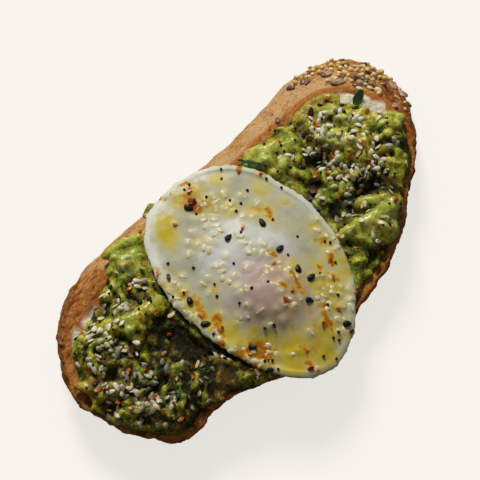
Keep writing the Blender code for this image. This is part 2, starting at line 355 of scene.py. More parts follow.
def grain(tree, place, size, detail=2.0, roughness=0.5, bend=0.0):
    """Noise with lumps of a size in millimetres, drawn out of shape where bend is more than 0."""
    return put(tree, "ShaderNodeTexNoise", {
        "Vector": place, "Scale": 1 / (size * MM), "Detail": detail, "Roughness": roughness,
        "Distortion": bend,
    }).outputs[0]


def span(tree, value, low, high, start=0.0, end=1.0):
    """A value spread from the span low to high onto the span start to end."""
    return put(tree, "ShaderNodeMapRange", {0: value, 1: low, 2: high, 3: start, 4: end}).outputs[0]


def graded(tree, value, stops):
    """A colour picked along a ramp; each stop is a place from 0 to 1 and a colour."""
    ramp = put(tree, "ShaderNodeValToRGB", {0: value})
    while len(ramp.color_ramp.elements) < len(stops):
        ramp.color_ramp.elements.new(0.5)
    for element, (place, colour) in zip(ramp.color_ramp.elements, stops):
        element.position = place
        element.color = (*colour, 1)
    return ramp.outputs[0]


def over(tree, base, coat, mask, mode="MIX"):
    """One colour laid over another where the mask says."""
    mixed = put(tree, "ShaderNodeMix", data_type="RGBA", blend_type=mode)
    for number, value in ((0, mask), (6, base), (7, coat)):
        if isinstance(value, bpy.types.NodeSocket):
            tree.links.new(value, mixed.inputs[number])
        else:
            mixed.inputs[number].default_value = value if number == 0 else (*value, 1)
    return mixed.outputs[2]


def maths(tree, operation, first, second, clamp=False):
    sums = put(tree, "ShaderNodeMath", {0: first, 1: second}, operation=operation, use_clamp=clamp)
    return sums.outputs[0]


def times(tree, first, second):
    return maths(tree, "MULTIPLY", first, second)


def mask_of(tree, name):
    return put(tree, "ShaderNodeAttribute", attribute_name=name).outputs["Fac"]


def fleck(tree, place, size, amount):
    """A mask of flecks of a size in millimetres."""
    made = tree.nodes.new("ShaderNodeGroup")
    made.node_tree = flecks
    tree.links.new(place, made.inputs["Place"])
    made.inputs["Size"].default_value = size * MM
    made.inputs["Amount"].default_value = amount
    return made.outputs[0]


def stained(tree, base, mask, stops):
    """A base colour with a colour laid over it, which runs through the stops' colours as the mask rises."""
    return over(tree, base, graded(tree, mask, stops), maths(tree, "MULTIPLY", mask, 2.0, clamp=True))


def bumped(tree, shader, height, distance, strength=1.0):
    bump = put(tree, "ShaderNodeBump", {"Height": height, "Distance": distance * MM, "Strength": strength})
    tree.links.new(bump.outputs[0], shader.inputs["Normal"])


bread, tree, shader, place = new_material("toasted bread", Roughness=0.7, Specular_IOR_Level=0.12)
drawn = put(tree, "ShaderNodeVectorMath", {0: place, 1: (0.7, 0.7, 1.7)}, operation="MULTIPLY").outputs[0]
patches = maths(tree, "ADD", span(tree, grain(tree, drawn, 5.5, 5, 0.7, 1.5), 0.3, 0.7, -0.36, 0.36),
                span(tree, grain(tree, drawn, 2.4, 6, 0.75, 1.5), 0.3, 0.7, -0.32, 0.32))
# The bake mask carries painted light and shade on the end blisters as well as how toasted the crust is.
baked = maths(tree, "ADD", mask_of(tree, "bake"), patches)
crust_colour = graded(tree, baked, [
    (0.0, (0.74, 0.46, 0.22)), (0.18, (0.64, 0.325, 0.105)), (0.38, (0.52, 0.195, 0.034)),
    (0.62, (0.31, 0.078, 0.010)), (1.0, (0.12, 0.034, 0.008)),
])
reddened = span(tree, grain(tree, drawn, 4.4, 4, 0.6, 2.0), 0.5, 0.62, 0.0, 0.6)
crust_colour = over(tree, crust_colour, (0.42, 0.115, 0.022), times(tree, reddened, mask_of(tree, "bake")))
tanned = span(tree, grain(tree, drawn, 3.4, 4, 0.6, 2.0), 0.38, 0.48, 0.65, 0.0)
crust_colour = over(tree, crust_colour, (0.70, 0.41, 0.14), tanned)
crust_colour = over(tree, crust_colour, (0.52, 0.15, 0.018), times(tree, mask_of(tree, "lip"), 0.85))
flour = times(tree, fleck(tree, place, 1.7, 0.45), times(tree, mask_of(tree, "floured"), 0.25))
crust_colour = over(tree, crust_colour, (0.80, 0.66, 0.50), flour)
bran = times(tree, fleck(tree, place, 2.0, 0.22), 0.55)
crust_colour = over(tree, crust_colour, (0.20, 0.085, 0.035), bran)
speckle = span(tree, grain(tree, place, 0.8, 4, 0.7), 0.53, 0.68, 0.0, 0.5)
crust_colour = over(tree, crust_colour, (0.22, 0.09, 0.03), speckle)
# Painted shade in the crust's cracks and sunk hollows.
crust_colour = over(tree, crust_colour, (0.10, 0.035, 0.012), times(tree, mask_of(tree, "recess_shade"), 0.75))
crumb_colour = graded(tree, grain(tree, place, 2.2, 4), [
    (0.25, (0.74, 0.58, 0.35)), (0.40, (0.91, 0.81, 0.60)), (0.65, (0.97, 0.91, 0.76)),
])
toasted_colour = graded(tree, grain(tree, place, 3.4, 6, 0.7, 1.5), [
    (0.3, (0.20, 0.060, 0.012)), (0.5, (0.50, 0.185, 0.030)), (0.68, (0.68, 0.37, 0.11)),
])
# Painted shade in the crumb's holes.
face_colour = over(tree, toasted_colour, (0.16, 0.06, 0.018), times(tree, mask_of(tree, "recess_shade"), 0.6))
face_colour = over(tree, face_colour, (0.16, 0.07, 0.025), fleck(tree, place, 0.9, 0.2))
face_colour = over(tree, face_colour, crumb_colour, mask_of(tree, "cream"))
tree.links.new(over(tree, crust_colour, face_colour, mask_of(tree, "crumb")), shader.inputs["Base Color"])
bumped(tree, shader, grain(tree, place, 1.3, 7, 0.7), 1.1, 1.0)
toast.data.materials.append(bread)
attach(toast, "root")
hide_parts("bread_slice")


# ---------------------------------------------------------------- Mashed avocado
# Ripe avocado crushed with a fork and heaped on the bread: lumps and smears of soft yellow-green flesh,
# greener where it lay under the skin, with painted shade darkening its hollows. It holds to the crumb by its
# own weight.

ROUGH_VOXEL, MASH_VOXEL = 0.9, 0.62
DEEPEST, HIGHEST, LOWEST_TOP = -3.4, 3.0, 17.2  # the most its top sinks or rises, and its least height
egg_solid = copy_of("fried_egg", "egg_probe")
egg_tree = BVHTree.FromObject(egg_solid, bpy.context.evaluated_depsgraph_get())


def under_egg(points, margin):
    """1 at points that the egg covers, or lies within the margin of, and 0 elsewhere."""
    covered = np.zeros(len(points))
    ring = [(0, 0)] + [(margin * math.cos(a), margin * math.sin(a)) for a in np.arange(8) * math.pi / 4]
    for i, (x, y, z) in enumerate((points + centre).tolist()):
        covered[i] = any(
            egg_tree.ray_cast(Vector(((x + dx) * MM, (y + dy) * MM, 0)), Vector((0, 0, 1)))[0]
            for dx, dy in ring
        )
    return covered


def shaped(name, edit):
    """The shape of an edited mesh, to be copied from and not itself a piece."""
    mesh = bpy.data.meshes.new(name)
    edit.to_mesh(mesh)
    edit.free()
    return bpy.data.objects.new(name, mesh)


def lump_shape(name, roughness, seed):
    """A soft uneven ball, 2 mm across."""
    edit = bmesh.new()
    bmesh.ops.create_icosphere(edit, subdivisions=2, radius=1.0)
    for vertex in edit.verts:
        vertex.co *= MM * (1 + roughness * noise.noise(vertex.co * 1.3 + Vector((seed, 0, 0))))
    return shaped(name, edit)


# What is strewn on a surface: points spread over it where a mask allows, and a turned and resized shape
# on each. Where names the mask, and Crowding is the most points to a square metre.
strewn, strewn_inputs, given, result = new_group("strewn", "GeometryNodeTree", "Geometry", "Geometry", {
    "Surface": ("Object",), "Shape": ("Object",), "Where": ("String", ""), "Spacing": ("Float", 0.002),
    "Crowding": ("Float", 1e6), "Smallest": ("Vector", (1, 1, 1)), "Largest": ("Vector", (1, 1, 1)),
    "Tilt": ("Float", 0.3), "Lift": ("Float", 0.0), "Seed": ("Int", 0), "Material": ("Material",),
})
surface = put(strewn, "GeometryNodeObjectInfo", {"Object": given["Surface"]})
shape = put(strewn, "GeometryNodeObjectInfo", {"Object": given["Shape"]})
where = put(strewn, "GeometryNodeInputNamedAttribute", {"Name": given["Where"]}, data_type="FLOAT")
spread = put(strewn, "GeometryNodeDistributePointsOnFaces", {
    "Mesh": surface.outputs["Geometry"], "Distance Min": given["Spacing"], "Density Max": given["Crowding"],
    "Density Factor": where.outputs["Attribute"], "Seed": given["Seed"],
}, distribute_method="POISSON")
raised = put(strewn, "ShaderNodeVectorMath", {0: spread.outputs["Normal"], "Scale": given["Lift"]},
             operation="SCALE")
lifted = put(strewn, "GeometryNodeSetPosition",
             {"Geometry": spread.outputs["Points"], "Offset": raised.outputs[0]})
lean = put(strewn, "ShaderNodeMath", {0: given["Tilt"], 1: -1.0}, operation="MULTIPLY")
least = put(strewn, "ShaderNodeCombineXYZ", {0: lean.outputs[0], 1: lean.outputs[0], 2: 0.0})
most = put(strewn, "ShaderNodeCombineXYZ", {0: given["Tilt"], 1: given["Tilt"], 2: math.tau})
turn = put(strewn, "FunctionNodeRandomValue",
           {0: least.outputs[0], 1: most.outputs[0], "Seed": given["Seed"]}, data_type="FLOAT_VECTOR")
turned = put(strewn, "FunctionNodeEulerToRotation", {0: turn.outputs[0]})
facing = put(strewn, "FunctionNodeRotateRotation",
             {0: spread.outputs["Rotation"], 1: turned.outputs[0]}, rotation_space="LOCAL")
other_seed = put(strewn, "ShaderNodeMath", {0: given["Seed"], 1: 71.0}, operation="ADD")
size = put(strewn, "FunctionNodeRandomValue", {
    0: given["Smallest"], 1: given["Largest"], "Seed": other_seed.outputs[0],
}, data_type="FLOAT_VECTOR")
copies = put(strewn, "GeometryNodeInstanceOnPoints", {
    "Points": lifted.outputs[0], "Instance": shape.outputs["Geometry"], "Rotation": facing.outputs[0],
    "Scale": size.outputs[0],
})


def realized(tree, copies, material, result):
    """Ends a tree: its copies become plain mesh of one material."""
    solid = put(tree, "GeometryNodeRealizeInstances", {0: copies.outputs[0]})
    finished = put(tree, "GeometryNodeSetMaterial", {"Geometry": solid.outputs[0], "Material": material})
    tree.links.new(finished.outputs[0], result)


def grown(name, mesh, group, identifiers, values):
    """A new piece: what a node tree makes of a mesh and of the values given."""
    piece = bpy.data.objects.new(name, mesh)
    bpy.context.scene.collection.objects.link(piece)
    modifier = piece.modifiers.new(group.name, "NODES")
    modifier.node_group = group
    for key, value in values.items():
        modifier[identifiers[key]] = value
    applied(piece)
    piece.data.shade_smooth()
    piece.data.set_sharp_from_angle(angle=math.radians(50))
    return piece


def strew(name, Spacing, Lift, **values):
    """A new piece: one kind of thing strewn over a surface. Lengths are in millimetres."""
    values.update(Spacing=Spacing * MM, Lift=Lift * MM)
    return grown(name, bpy.data.meshes.new(name), strewn, strewn_inputs, values)


realized(strewn, copies, given["Material"], result)


def joined(piece, *others):
    """Adds other pieces' meshes to a piece's, and removes those pieces."""
    edit = bmesh.new()
    for part in (piece, *others):
        edit.from_mesh(part.data)
    edit.to_mesh(piece.data)
    edit.free()
    for part in others:
        bpy.data.objects.remove(part)
    return piece


SMEARS = [  # X, Y, height and radius of a smear's points, one after another along it
    [(-36, 50, 17.8, 2.0), (-32, 49, 18.6, 2.8), (-26, 47, 18.9, 3.0), (-20, 45, 17.6, 2.6)],
    [(-42, 37, 18.6, 1.8), (-37, 38, 19.4, 2.5), (-31, 39, 19.4, 2.8), (-25, 38, 17.8, 2.4)],
    [(-13, 50, 18.6, 2.0), (-9, 51, 18.4, 2.2)],
    [
        (29, -13, 20.4, 2.2), (35, -15, 21.8, 2.8), (42, -18, 22.6, 3.2),
        (49, -20, 22.6, 3.2), (57, -20, 21.0, 3.0),
    ],
    [(46, -10, 20.4, 3.0), (51, -13, 21.2, 3.4), (56, -17, 20.8, 3.0)],
    [
        (-64, 24, 19.4, 2.6), (-58, 25, 21.0, 3.8), (-51, 22, 21.6, 4.4),
        (-44, 21, 21.4, 4.2), (-38, 21, 20.4, 3.4),
    ],
    [(-84, 21, 18.6, 1.5), (-82, 18, 19.6, 2.3), (-79, 14, 20.4, 2.5), (-76, 11, 19.8, 1.8)],
    [(61, 34, 18.4, 2.2), (67, 34, 19.2, 2.5), (73, 31, 19.0, 2.3), (77, 29, 18.0, 1.8)],
    [(-42, -18, 18.4, 1.8), (-46, -21, 18.8, 2.2), (-51, -23, 18.6, 2.0)],
    [(34, 37, 19.0, 2.8), (38, 34, 20.0, 3.6), (45, 29, 20.2, 3.8), (50, 26, 20.2, 3.6)],
    [(76, 10, 19.8, 3.0), (82, 8, 19.8, 3.4), (86, 3, 19.2, 3.0)],
    [(-74, 30, 19.2, 2.2), (-70, 28, 20.0, 2.8)], [(-71, 17, 21.2, 2.6), (-68, 15, 21.4, 2.6)],
    [(-78, 8, 20.4, 2.8), (-73, 7, 21.0, 3.0)], [(-77, -3, 20.2, 3.0), (-73, -7, 20.4, 3.2)],
    [(-56, -2, 20.8, 2.8), (-52, -4, 20.6, 2.8)], [(-72, -15, 19.6, 3.0), (-66, -19, 19.2, 2.8)],
    [
        (-85, 10, 16.0, 2.0), (-82, 6, 16.4, 2.8), (-83, 1, 16.0, 2.4),
        (-80, -2, 16.6, 3.0), (-80, -7, 16.0, 2.4),
    ],
    [
        (-80, -7, 16.0, 2.4), (-76, -9, 16.4, 3.0), (-75, -14, 16.0, 2.6),
        (-70, -16, 16.4, 3.0), (-66, -20, 16.0, 2.4),
    ],
    [(60, 20, 21.4, 2.8), (63, 16, 21.4, 3.0)], [(72, 4, 21.0, 2.6), (76, 0, 20.6, 2.8)],
]
HILLS = [  # X, Y, radius, height: what rises from the body, and what sinks below it
    (-52, 24, 7, 1.4), (48, -16, 7, 1.2), (34, 33, 6, 1.0), (80, 8, 6, 1.2), (75, 2, 4, 1.0),
    (60, 18, 4, 0.8), (-72, 29, 3, 1.2), (-70, 16, 3, 1.0), (-76, 8, 4, 1.2), (-75, -5, 5, 1.4),
    (-54, -3, 4, 1.4), (-70, -17, 5, 1.2), (-45, 11, 9, -3.0), (-42, -4, 8, -2.8), (-57, 12, 5, -1.8),
    (-60, -15, 6, -1.6), (-73, 13, 3, -1.6), (-62, -3, 4, -1.4), (-81, 22, 3, -1.4), (-82, 4, 4, -1.2),
    (-64, 8, 4, -1.0), (-51, -19, 4, -1.2), (54, 28, 3, -1.6), (50, 15, 5, -2.4), (61, 4, 5, -1.2),
    (69, 1, 3, -1.4), (78, -8, 5, -1.4), (57, -9, 5, -2.4), (44, -8, 7, -2.4), (34, -11, 4, -1.4),
    (35, -27, 8, -2.6), (41, 9, 6, -2.0), (60, -24, 5, -1.2),
]
mash = remeshed(copy_of("avocado_mash", "mashed_avocado"), ROUGH_VOXEL)
points, outward = surface_of(mash)
points = evened_points(mash, points, 2)
# The spread stops short of the crust at this end.
points[:, 0] += 2.6 * eased(-points[:, 0], 66, 84) * eased(points[:, 1], -2, 14)
covered = under_egg(points, 2.5)
uppermost = eased(outward[:, 2], 0.1, 0.5)
height = spots(points, HILLS, np.add)
height += 1.2 * lumps(points, 7.0, 12.0) - 1.6 * eased(0.16 - np.abs(lumps(points, 9.0, 27.0)), 0.0, 0.14)
open_top = uppermost * (1 - covered)
points[:, 2] += np.clip(height, DEEPEST, HIGHEST) * open_top
points[:, 2] = np.maximum(points[:, 2], LOWEST_TOP * open_top)
reshape(mash, points)
inside = eased(evened(mash, uppermost, 10), 0.45, 0.85)
paint(mash, "open", (1 - covered) * inside)
ball = lump_shape("mash lump", 0.55, 4.0)
smears = bmesh.new()
noise.seed_set(5)  # without a seed of its own, noise_vector starts from the clock
for smear in SMEARS:
    for (x0, y0, z0, r0), (x1, y1, z1, r1) in zip(smear, smear[1:]):
        for step in np.linspace(0, 1, 6):
            middle = Vector((x0, y0, z0)).lerp(Vector((x1, y1, z1)), step)
            middle += centre + noise.noise_vector(middle / 4) * 0.7
            place = Matrix.Translation(middle * MM) @ Matrix.Scale(r0 + (r1 - r0) * step, 4)
            bmesh.ops.create_icosphere(smears, subdivisions=2, radius=MM, matrix=place)
smeared = shaped("smears", smears)
big = strew("big lumps", Surface=mash, Shape=ball, Where="open", Spacing=5.0,
            Smallest=(1.6, 1.3, 1.0), Largest=(3.8, 2.6, 2.4), Tilt=0.6, Lift=-0.3, Seed=3)
small = strew("small lumps", Surface=mash, Shape=ball, Where="open", Spacing=5.2,
              Smallest=(1.0, 0.8, 0.7), Largest=(2.6, 1.6, 1.4), Tilt=0.7, Lift=0.0, Seed=8)
joined(mash, big, small, smeared)
remeshed(mash, MASH_VOXEL)
points, outward = surface_of(mash)
points = evened_points(mash, points, 6)
relief = 0.5 * lumps(points, 5.0, 2.0) + 0.45 * np.abs(lumps(points, 4.0, 4.0)) - 0.15
relief += 0.34 * lumps(points, 2.1, 6.0) + 0.14 * lumps(points, 1.0, 8.0)
SMOOTH = [  # pressed flat by the fork
    (-50, 22, 9, 1.0), (-39, 21, 7, 0.8), (-32, 49, 7, 0.9), (-32, 38, 6, 0.8), (47, -18, 8, 1.0),
    (57, -20, 6, 0.8), (38, 33, 7, 0.6), (80, 6, 5, 0.6), (-75, -5, 5, 0.5),
]
pressed = spots(points, SMOOTH)
relief *= 1 - 0.65 * pressed
loose = eased(outward[:, 2], -0.6, 0.2)
points = points + outward * (relief * loose)[:, None]
reshape(mash, points)
points, outward = surface_of(mash)
finest = points[:, 2] - evened(mash, points[:, 2], 5)
fine = points[:, 2] - evened(mash, points[:, 2], 16)
broad = points[:, 2] - evened(mash, points[:, 2], 90)
# Spots where the mash is painted darker, as painted shade.
SHADY = [  # X, Y, radius, strength: where the mash lies darkest
    (-45, 9, 11, 1.1), (-42, -5, 11, 1.1), (-57, 5, 8, 0.7), (-60, -15, 8, 0.8), (-73, 13, 4, 0.7),
    (-81, 23, 4, 0.7), (-50, -20, 6, 0.6), (-66, 4, 6, 0.6), (-82, 5, 4, 0.6), (-70, -18, 5, 0.5),
    (54, 28, 3, 0.6), (50, 15, 5, 0.9), (61, 4, 6, 0.35), (70, 0, 4, 0.6), (78, -8, 6, 0.7),
    (56, -8, 6, 1.0), (46, -7, 6, 0.7), (34, -30, 7, 0.6), (41, 9, 6, 0.6), (60, -25, 5, 0.6),
    (-40, 28, 5, 0.5), (-72, 25, 5, 0.4), (-62, -22, 22, 0.8), (-46, -18, 16, 0.9), (-36, -24, 10, 0.8),
    (-48, 0, 16, 0.8), (-10, 52, 4, 0.6), (-68, 0, 14, 0.6), (-60, -10, 12, 0.6), (-72, -14, 9, 0.6),
    (-56, 4, 8, 0.7), (-84, -2, 6, 0.5), (-70, 20, 13, 0.5), (-62, 15, 6, 0.8), (-68, 9, 6, 0.75),
    (-76, -8, 6, 0.75), (-59, -14, 7, 1.0), (-41, -20, 7, 1.2), (-54, 32, 4, 0.6), (-52, -8, 6, 0.9),
    (-84, 4, 6, 0.8), (-77, 2, 10, 0.4), (-68, 32, 6, 0.3), (52, -6, 5, 1.0), (56, -2, 5, 0.5),
    (60, -15, 5, 1.1), (38, -3, 5, 0.9), (-54, 33, 4, 0.8), (-49, 28, 4, 0.6), (-78, -13, 6, 0.6),
    (-70, -20, 6, 0.6), (-60, -24, 6, 0.5),
]
shady = spots(points, SHADY) * (1 + 0.5 * lumps(points, 4.5, 101.0))
# Painted light and shade on the mash: its colour is painted lighter on its rises and darker in its creases
# and hollows, darker still as painted shade at the spots above, and lighter as painted light at the spots
# below and where the fork pressed it smooth, with some random variation.
painted_light_and_shade = 0.53 + 0.10 * finest / 0.25 + 0.17 * fine / 0.8 + 0.30 * broad / 1.8 - 0.56 * shady
# Spots where the mash is painted lighter, as painted light.
PAINTED_LIGHT = [(62, 9, 7, 1.4), (41, -21, 5, 1), (32, 30, 7, 1), (-57, 27, 5, 0.7)]  # X, Y, radius, strength
painted_light_and_shade = painted_light_and_shade + 0.26 * spots(points, PAINTED_LIGHT) + 0.14 * pressed + 0.16 * lumps(points, 5.5, 51.0)
painted_light_and_shade = np.clip(painted_light_and_shade, 0, 1)
paint(mash, "painted_light_and_shade", painted_light_and_shade)


def finder(points):
    """What finds the nearest of these points to any place."""
    nearest = KDTree(len(points))
    for i, place in enumerate(points.tolist()):
        nearest.insert(place, i)
    nearest.balance()
    return nearest


mash_places = finder(points)
nearby_light_and_shade = evened(mash, painted_light_and_shade, 10)


def shade_from_mash(piece):
    """Marks on a strewn piece how much of the mash's painted light it shares: 1 on top of the mash, 0 down
    in its hollows, where it is painted dark as shade.
    """
    found = [nearby_light_and_shade[mash_places.find(place)[1]] for place in surface_of(piece)[0].tolist()]
    paint(piece, "unshaded", eased(np.array(found), 0.05, 0.55))


YELLOW = [
    (61, 35, 3.5, 1), (66, 34, 4, 1), (72, 32, 3.5, 1), (-84, 20, 3.5, 1), (-81, 16, 3.5, 1),
    (-77, 12, 3, 0.9), (-44, -20, 4, 0.6), (-50, -23, 4, 0.5), (58, -20, 3, 0.5),
]
GREEN = [
    (43, 23, 10, 0.8), (38, -20, 6, 0.5), (31, -22, 10, 1.0), (80, -5, 7, 0.7), (52, -24, 8, 0.7),
    (-33, 45, 8, 0.8), (50, 30, 6, 0.6),
]
paint(mash, "green", spots(points, GREEN) * (0.6 + lumps(points, 4.0, 81.0)))
paint(mash, "yellow", spots(points, YELLOW))
mash.data.shade_smooth()

flesh, tree, shader, place = new_material(
    "avocado flesh", Specular_IOR_Level=0.14, Subsurface_Weight=0.08,
    Subsurface_Radius=(0.9, 1.0, 0.25), Subsurface_Scale=0.5 * MM, Coat_Roughness=0.14,
)
speckle = span(tree, grain(tree, place, 1.1, 5, 0.7), 0.3, 0.7, -0.26, 0.26)
# The flesh's colour runs from near black in the painted shade to pale in the painted light, and so does the
# yellow smears' colour.
shade = maths(tree, "ADD", mask_of(tree, "painted_light_and_shade"), speckle)
yellower = graded(tree, shade, [
    (0.0, (0.008, 0.006, 0.002)), (0.2, (0.040, 0.034, 0.004)), (0.42, (0.19, 0.170, 0.010)),
    (0.65, (0.46, 0.43, 0.030)), (0.95, (0.70, 0.65, 0.13)),
])
greener = graded(tree, shade, [
    (0.0, (0.006, 0.009, 0.003)), (0.2, (0.024, 0.036, 0.006)), (0.42, (0.115, 0.165, 0.012)),
    (0.65, (0.30, 0.39, 0.030)), (0.95, (0.52, 0.60, 0.11)),
])
patchy = span(tree, grain(tree, place, 6.0, 2), 0.47, 0.63)
greenness = maths(tree, "ADD", patchy, mask_of(tree, "green"), clamp=True)
flesh_colour = over(tree, yellower, greener, greenness)
browned = over(tree, (0.12, 0.06, 0.01), (0.66, 0.48, 0.07), shade)
flesh_colour = over(tree, flesh_colour, browned, times(tree, mask_of(tree, "yellow"), 0.9))
stirred_in = times(tree, fleck(tree, place, 2.6, 0.28), span(tree, shade, 0.15, 0.5, 0.0, 0.8))
flesh_colour = over(tree, flesh_colour, (0.26, 0.13, 0.015), stirred_in)
spiced = span(tree, grain(tree, place, 4.5, 3, 0.6), 0.55, 0.66, 0.0, 0.40)
flesh_colour = over(tree, flesh_colour, (0.22, 0.105, 0.012), spiced)
tree.links.new(flesh_colour, shader.inputs["Base Color"])
tree.links.new(span(tree, shade, 0.1, 0.5, 0.75, 0.4), shader.inputs["Roughness"])
tree.links.new(span(tree, shade, 0.35, 0.7, 0.0, 0.3), shader.inputs["Coat Weight"])
bumped(tree, shader, grain(tree, place, 1.0, 5, 0.65), 0.45, 0.9)
mash.data.materials.append(flesh)
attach(mash, "root")
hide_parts("avocado_mash")


# ---------------------------------------------------------------- Fried egg
# One soft-set egg laid over the mash: a thin, smooth white with a thicker middle, and the yolk under a film
# of white. Seasoning fried into it stands in small swellings, in pools of yellow and orange oil.

EGG_VOXEL = 0.46
SEEDS_ON_EGG = [  # X, Y, radius and count of each little group of sesame fried into the egg
    (0, 47, 1, 1), (4, 35, 2, 2), (8, 32, 3, 4), (11, 26, 3, 4), (18, 20, 1, 1), (13, 16, 1, 1),
    (-10, 21, 3, 5), (-13, 26, 3, 3), (-3, 26, 3, 5), (-1, 21, 1, 1), (2, 12, 3, 3), (2, 8, 2, 3),
    (10, 19, 1, 1), (-7, 12, 1, 1), (4, 4, 3, 6), (-1, -3, 2, 3), (-12, 11, 2, 3), (-14, 6, 2, 3),
    (-20, 8, 3, 3), (-30, 17, 3, 5), (-25, 20, 1, 1), (-37, 14, 2, 2), (-34, 7, 2, 4), (-33, -5, 2, 3),
    (-27, -2, 1, 1), (-32, -15, 2, 3), (-22, -10, 3, 4), (-15, -2, 2, 3), (-6, 4, 1, 1), (-17, -13, 1, 1),
    (-13, -17, 1, 1), (3, -9, 3, 5), (-5, -12, 2, 3), (-6, -21, 3, 4), (3, -13, 1, 1), (-13, -22, 1, 1),
    (-18, -19, 1, 1), (-9, -33, 1, 1), (9, -23, 3, 6), (5, -27, 3, 5), (11, -29, 3, 5), (10, -34, 2, 3),
    (2, -40, 3, 4), (-27, -23, 3, 5), (-36, -17, 2, 2), (-32, -27, 3, 5), (-24, -29, 1, 1),
    (-19, -34, 2, 2), (-18, -43, 1, 1), (28, -3, 2, 2), (26, -12, 3, 4), (23, -16, 2, 3),
]
dice = random.Random(11)


def grouped(groups, apart):
    """Places in loose groups, no two nearer than a distance apart; a group is X, Y, radius and count."""
    found = []
    for x, y, radius, count in groups:
        for _ in range(count):
            for _ in range(15):
                q = (x + dice.gauss(0, radius * 0.6), y + dice.gauss(0, radius * 0.6))
                if all(math.dist(q, other) > apart for other in found):
                    found.append(q)
                    break
    return found


egg_sesame = grouped(SEEDS_ON_EGG, 2.3)
CHILLI_ON_EGG = [  # X, Y, turn, size
    (24, 34, 0, 0.75), (29, 27, 0, 0.8), (5, 43, 20, 1.3), (1, 39, -30, 2.0), (19, -18, 10, 0.9),
    (14, -24, 60, 0.8), (6, 16, 40, 1.0), (-10, 37, -30, 0.9), (-30, 28, 30, 0.8), (2, -4, 0, 0.8),
    (-7, -18, -50, 1.3), (-2, -17, 20, 0.9), (12, -19, 0, 0.7), (16, -34, 0, 0.7), (6, -34, -40, 1.0),
    (-32, 4, -60, 0.8), (-30, -6, 30, 0.8), (-34, -10, 40, 0.6), (-31, -21, -45, 0.9),
    (-27, -27, 40, 1.0), (-34, -25, -30, 0.9), (-15, -36, 0, 0.6), (-19, -42, -20, 1.2),
    (-3, -34, 55, 1.0),
]
OIL = [  # X, Y, radius, strength: pools of yellow oil
    (-15, 37, 5, 1.0), (-12, 41, 5, 0.8), (-18, 32, 4, 0.5), (16, 38, 5, 0.6), (24, 23, 6, 0.5),
    (28, 26, 4, 0.4), (-1, 44, 4, 0.5), (4, 34, 6, 0.6), (9, 26, 5, 0.6), (14, 19, 5, 0.5),
    (16, 11, 5, 0.45), (20, 4, 4, 0.3), (26, 13, 4, 0.4), (26, -4, 5, 0.5), (24, -11, 5, 0.6),
    (21, -16, 5, 0.5), (-32, 8, 5, 0.7), (-29, 15, 4, 0.5), (-31, -1, 5, 0.8), (-30, -9, 6, 0.9),
    (-31, -17, 6, 0.9), (-26, -25, 8, 1.0), (-18, -33, 8, 1.0), (-22, -35, 7, 0.9), (-11, -40, 7, 1.0),
    (-5, -37, 7, 0.8), (1, -40, 7, 0.5), (-8, -30, 4, 0.4), (-31, 22, 4, 0.5), (-9, 25, 5, 0.35),
    (12, 31, 5, 0.4), (10, -26, 8, 0.75), (19, -25, 6, 0.55), (14, -16, 6, 0.55), (23, -22, 5, 0.6),
    (6, -31, 6, 0.6), (5, 41, 6, 0.75), (0, 42, 5, 0.8), (-30, 16, 5, 0.6), (-19, 7, 5, 0.35),
    (18, 16, 6, 0.55), (7, -10, 5, 0.5), (9, -20, 6, 0.65), (-25, -18, 5, 0.8),
]
AMBER = [  # X, Y of both ends, width, strength: streaks of orange oil, mostly running from the chips
    (-27, -19, -24, -27, 2.2, 0.8), (-29, -2, -35, -10, 1.9, 1.0), (2, -29, -2, -37, 1.4, 1.0),
    (4, -12, 0, -20, 1.3, 1.0), (-3, -12, -2, -15, 1.2, 0.8), (19, 15, 18, 12, 1.1, 0.8),
    (15, 19, 19, 14, 1.4, 0.45), (21, -16, 19, -20, 1.3, 1.0), (15, -23, 15, -25, 1.2, 1.0),
    (6, 47, 7, 43, 1.3, 0.7), (2, 42, 1, 36, 2.4, 1.0), (3, 37, 5, 32, 1.6, 0.45),
    (-32, -18, -27, -27, 2.3, 1.0), (-34, -22, -33, -28, 2.0, 0.9), (-29, 15, -28, 8, 1.8, 0.6),
    (-30, 6, -31, 3, 1.4, 0.9), (-30, 31, -24, 23, 1.4, 0.4), (-15, -34, -15, -36, 1.1, 0.7),
    (-18, -40, -18, -44, 1.3, 1.0), (-8, -21, -13, -27, 1.4, 0.35), (5, 0, 5, -3, 1.0, 0.9),
    (-4, 50, -4, 48, 1.3, 0.6), (14, -16, 14, -18, 1.0, 0.7), (18, -32, 17, -34, 1.0, 0.6),
    (30, 30, 31, 26, 1.3, 0.6), (26, 36, 25, 35, 1.0, 0.9), (-10, -38, -16, -38, 1.9, 0.35),
    (26, 13, 27, 8, 1.4, 0.3), (-1, -25, -6, -32, 1.6, 0.35), (22, -8, 26, -13, 1.4, 0.45),
    (-20, 8, -24, 2, 1.4, 0.3),
]
LENS_OF_WHITE = (-3, 0, 19, 30)  # X, Y and reach both ways of the thick white round the yolk
YOLK = (-6, -12, 19.0)  # X, Y, radius

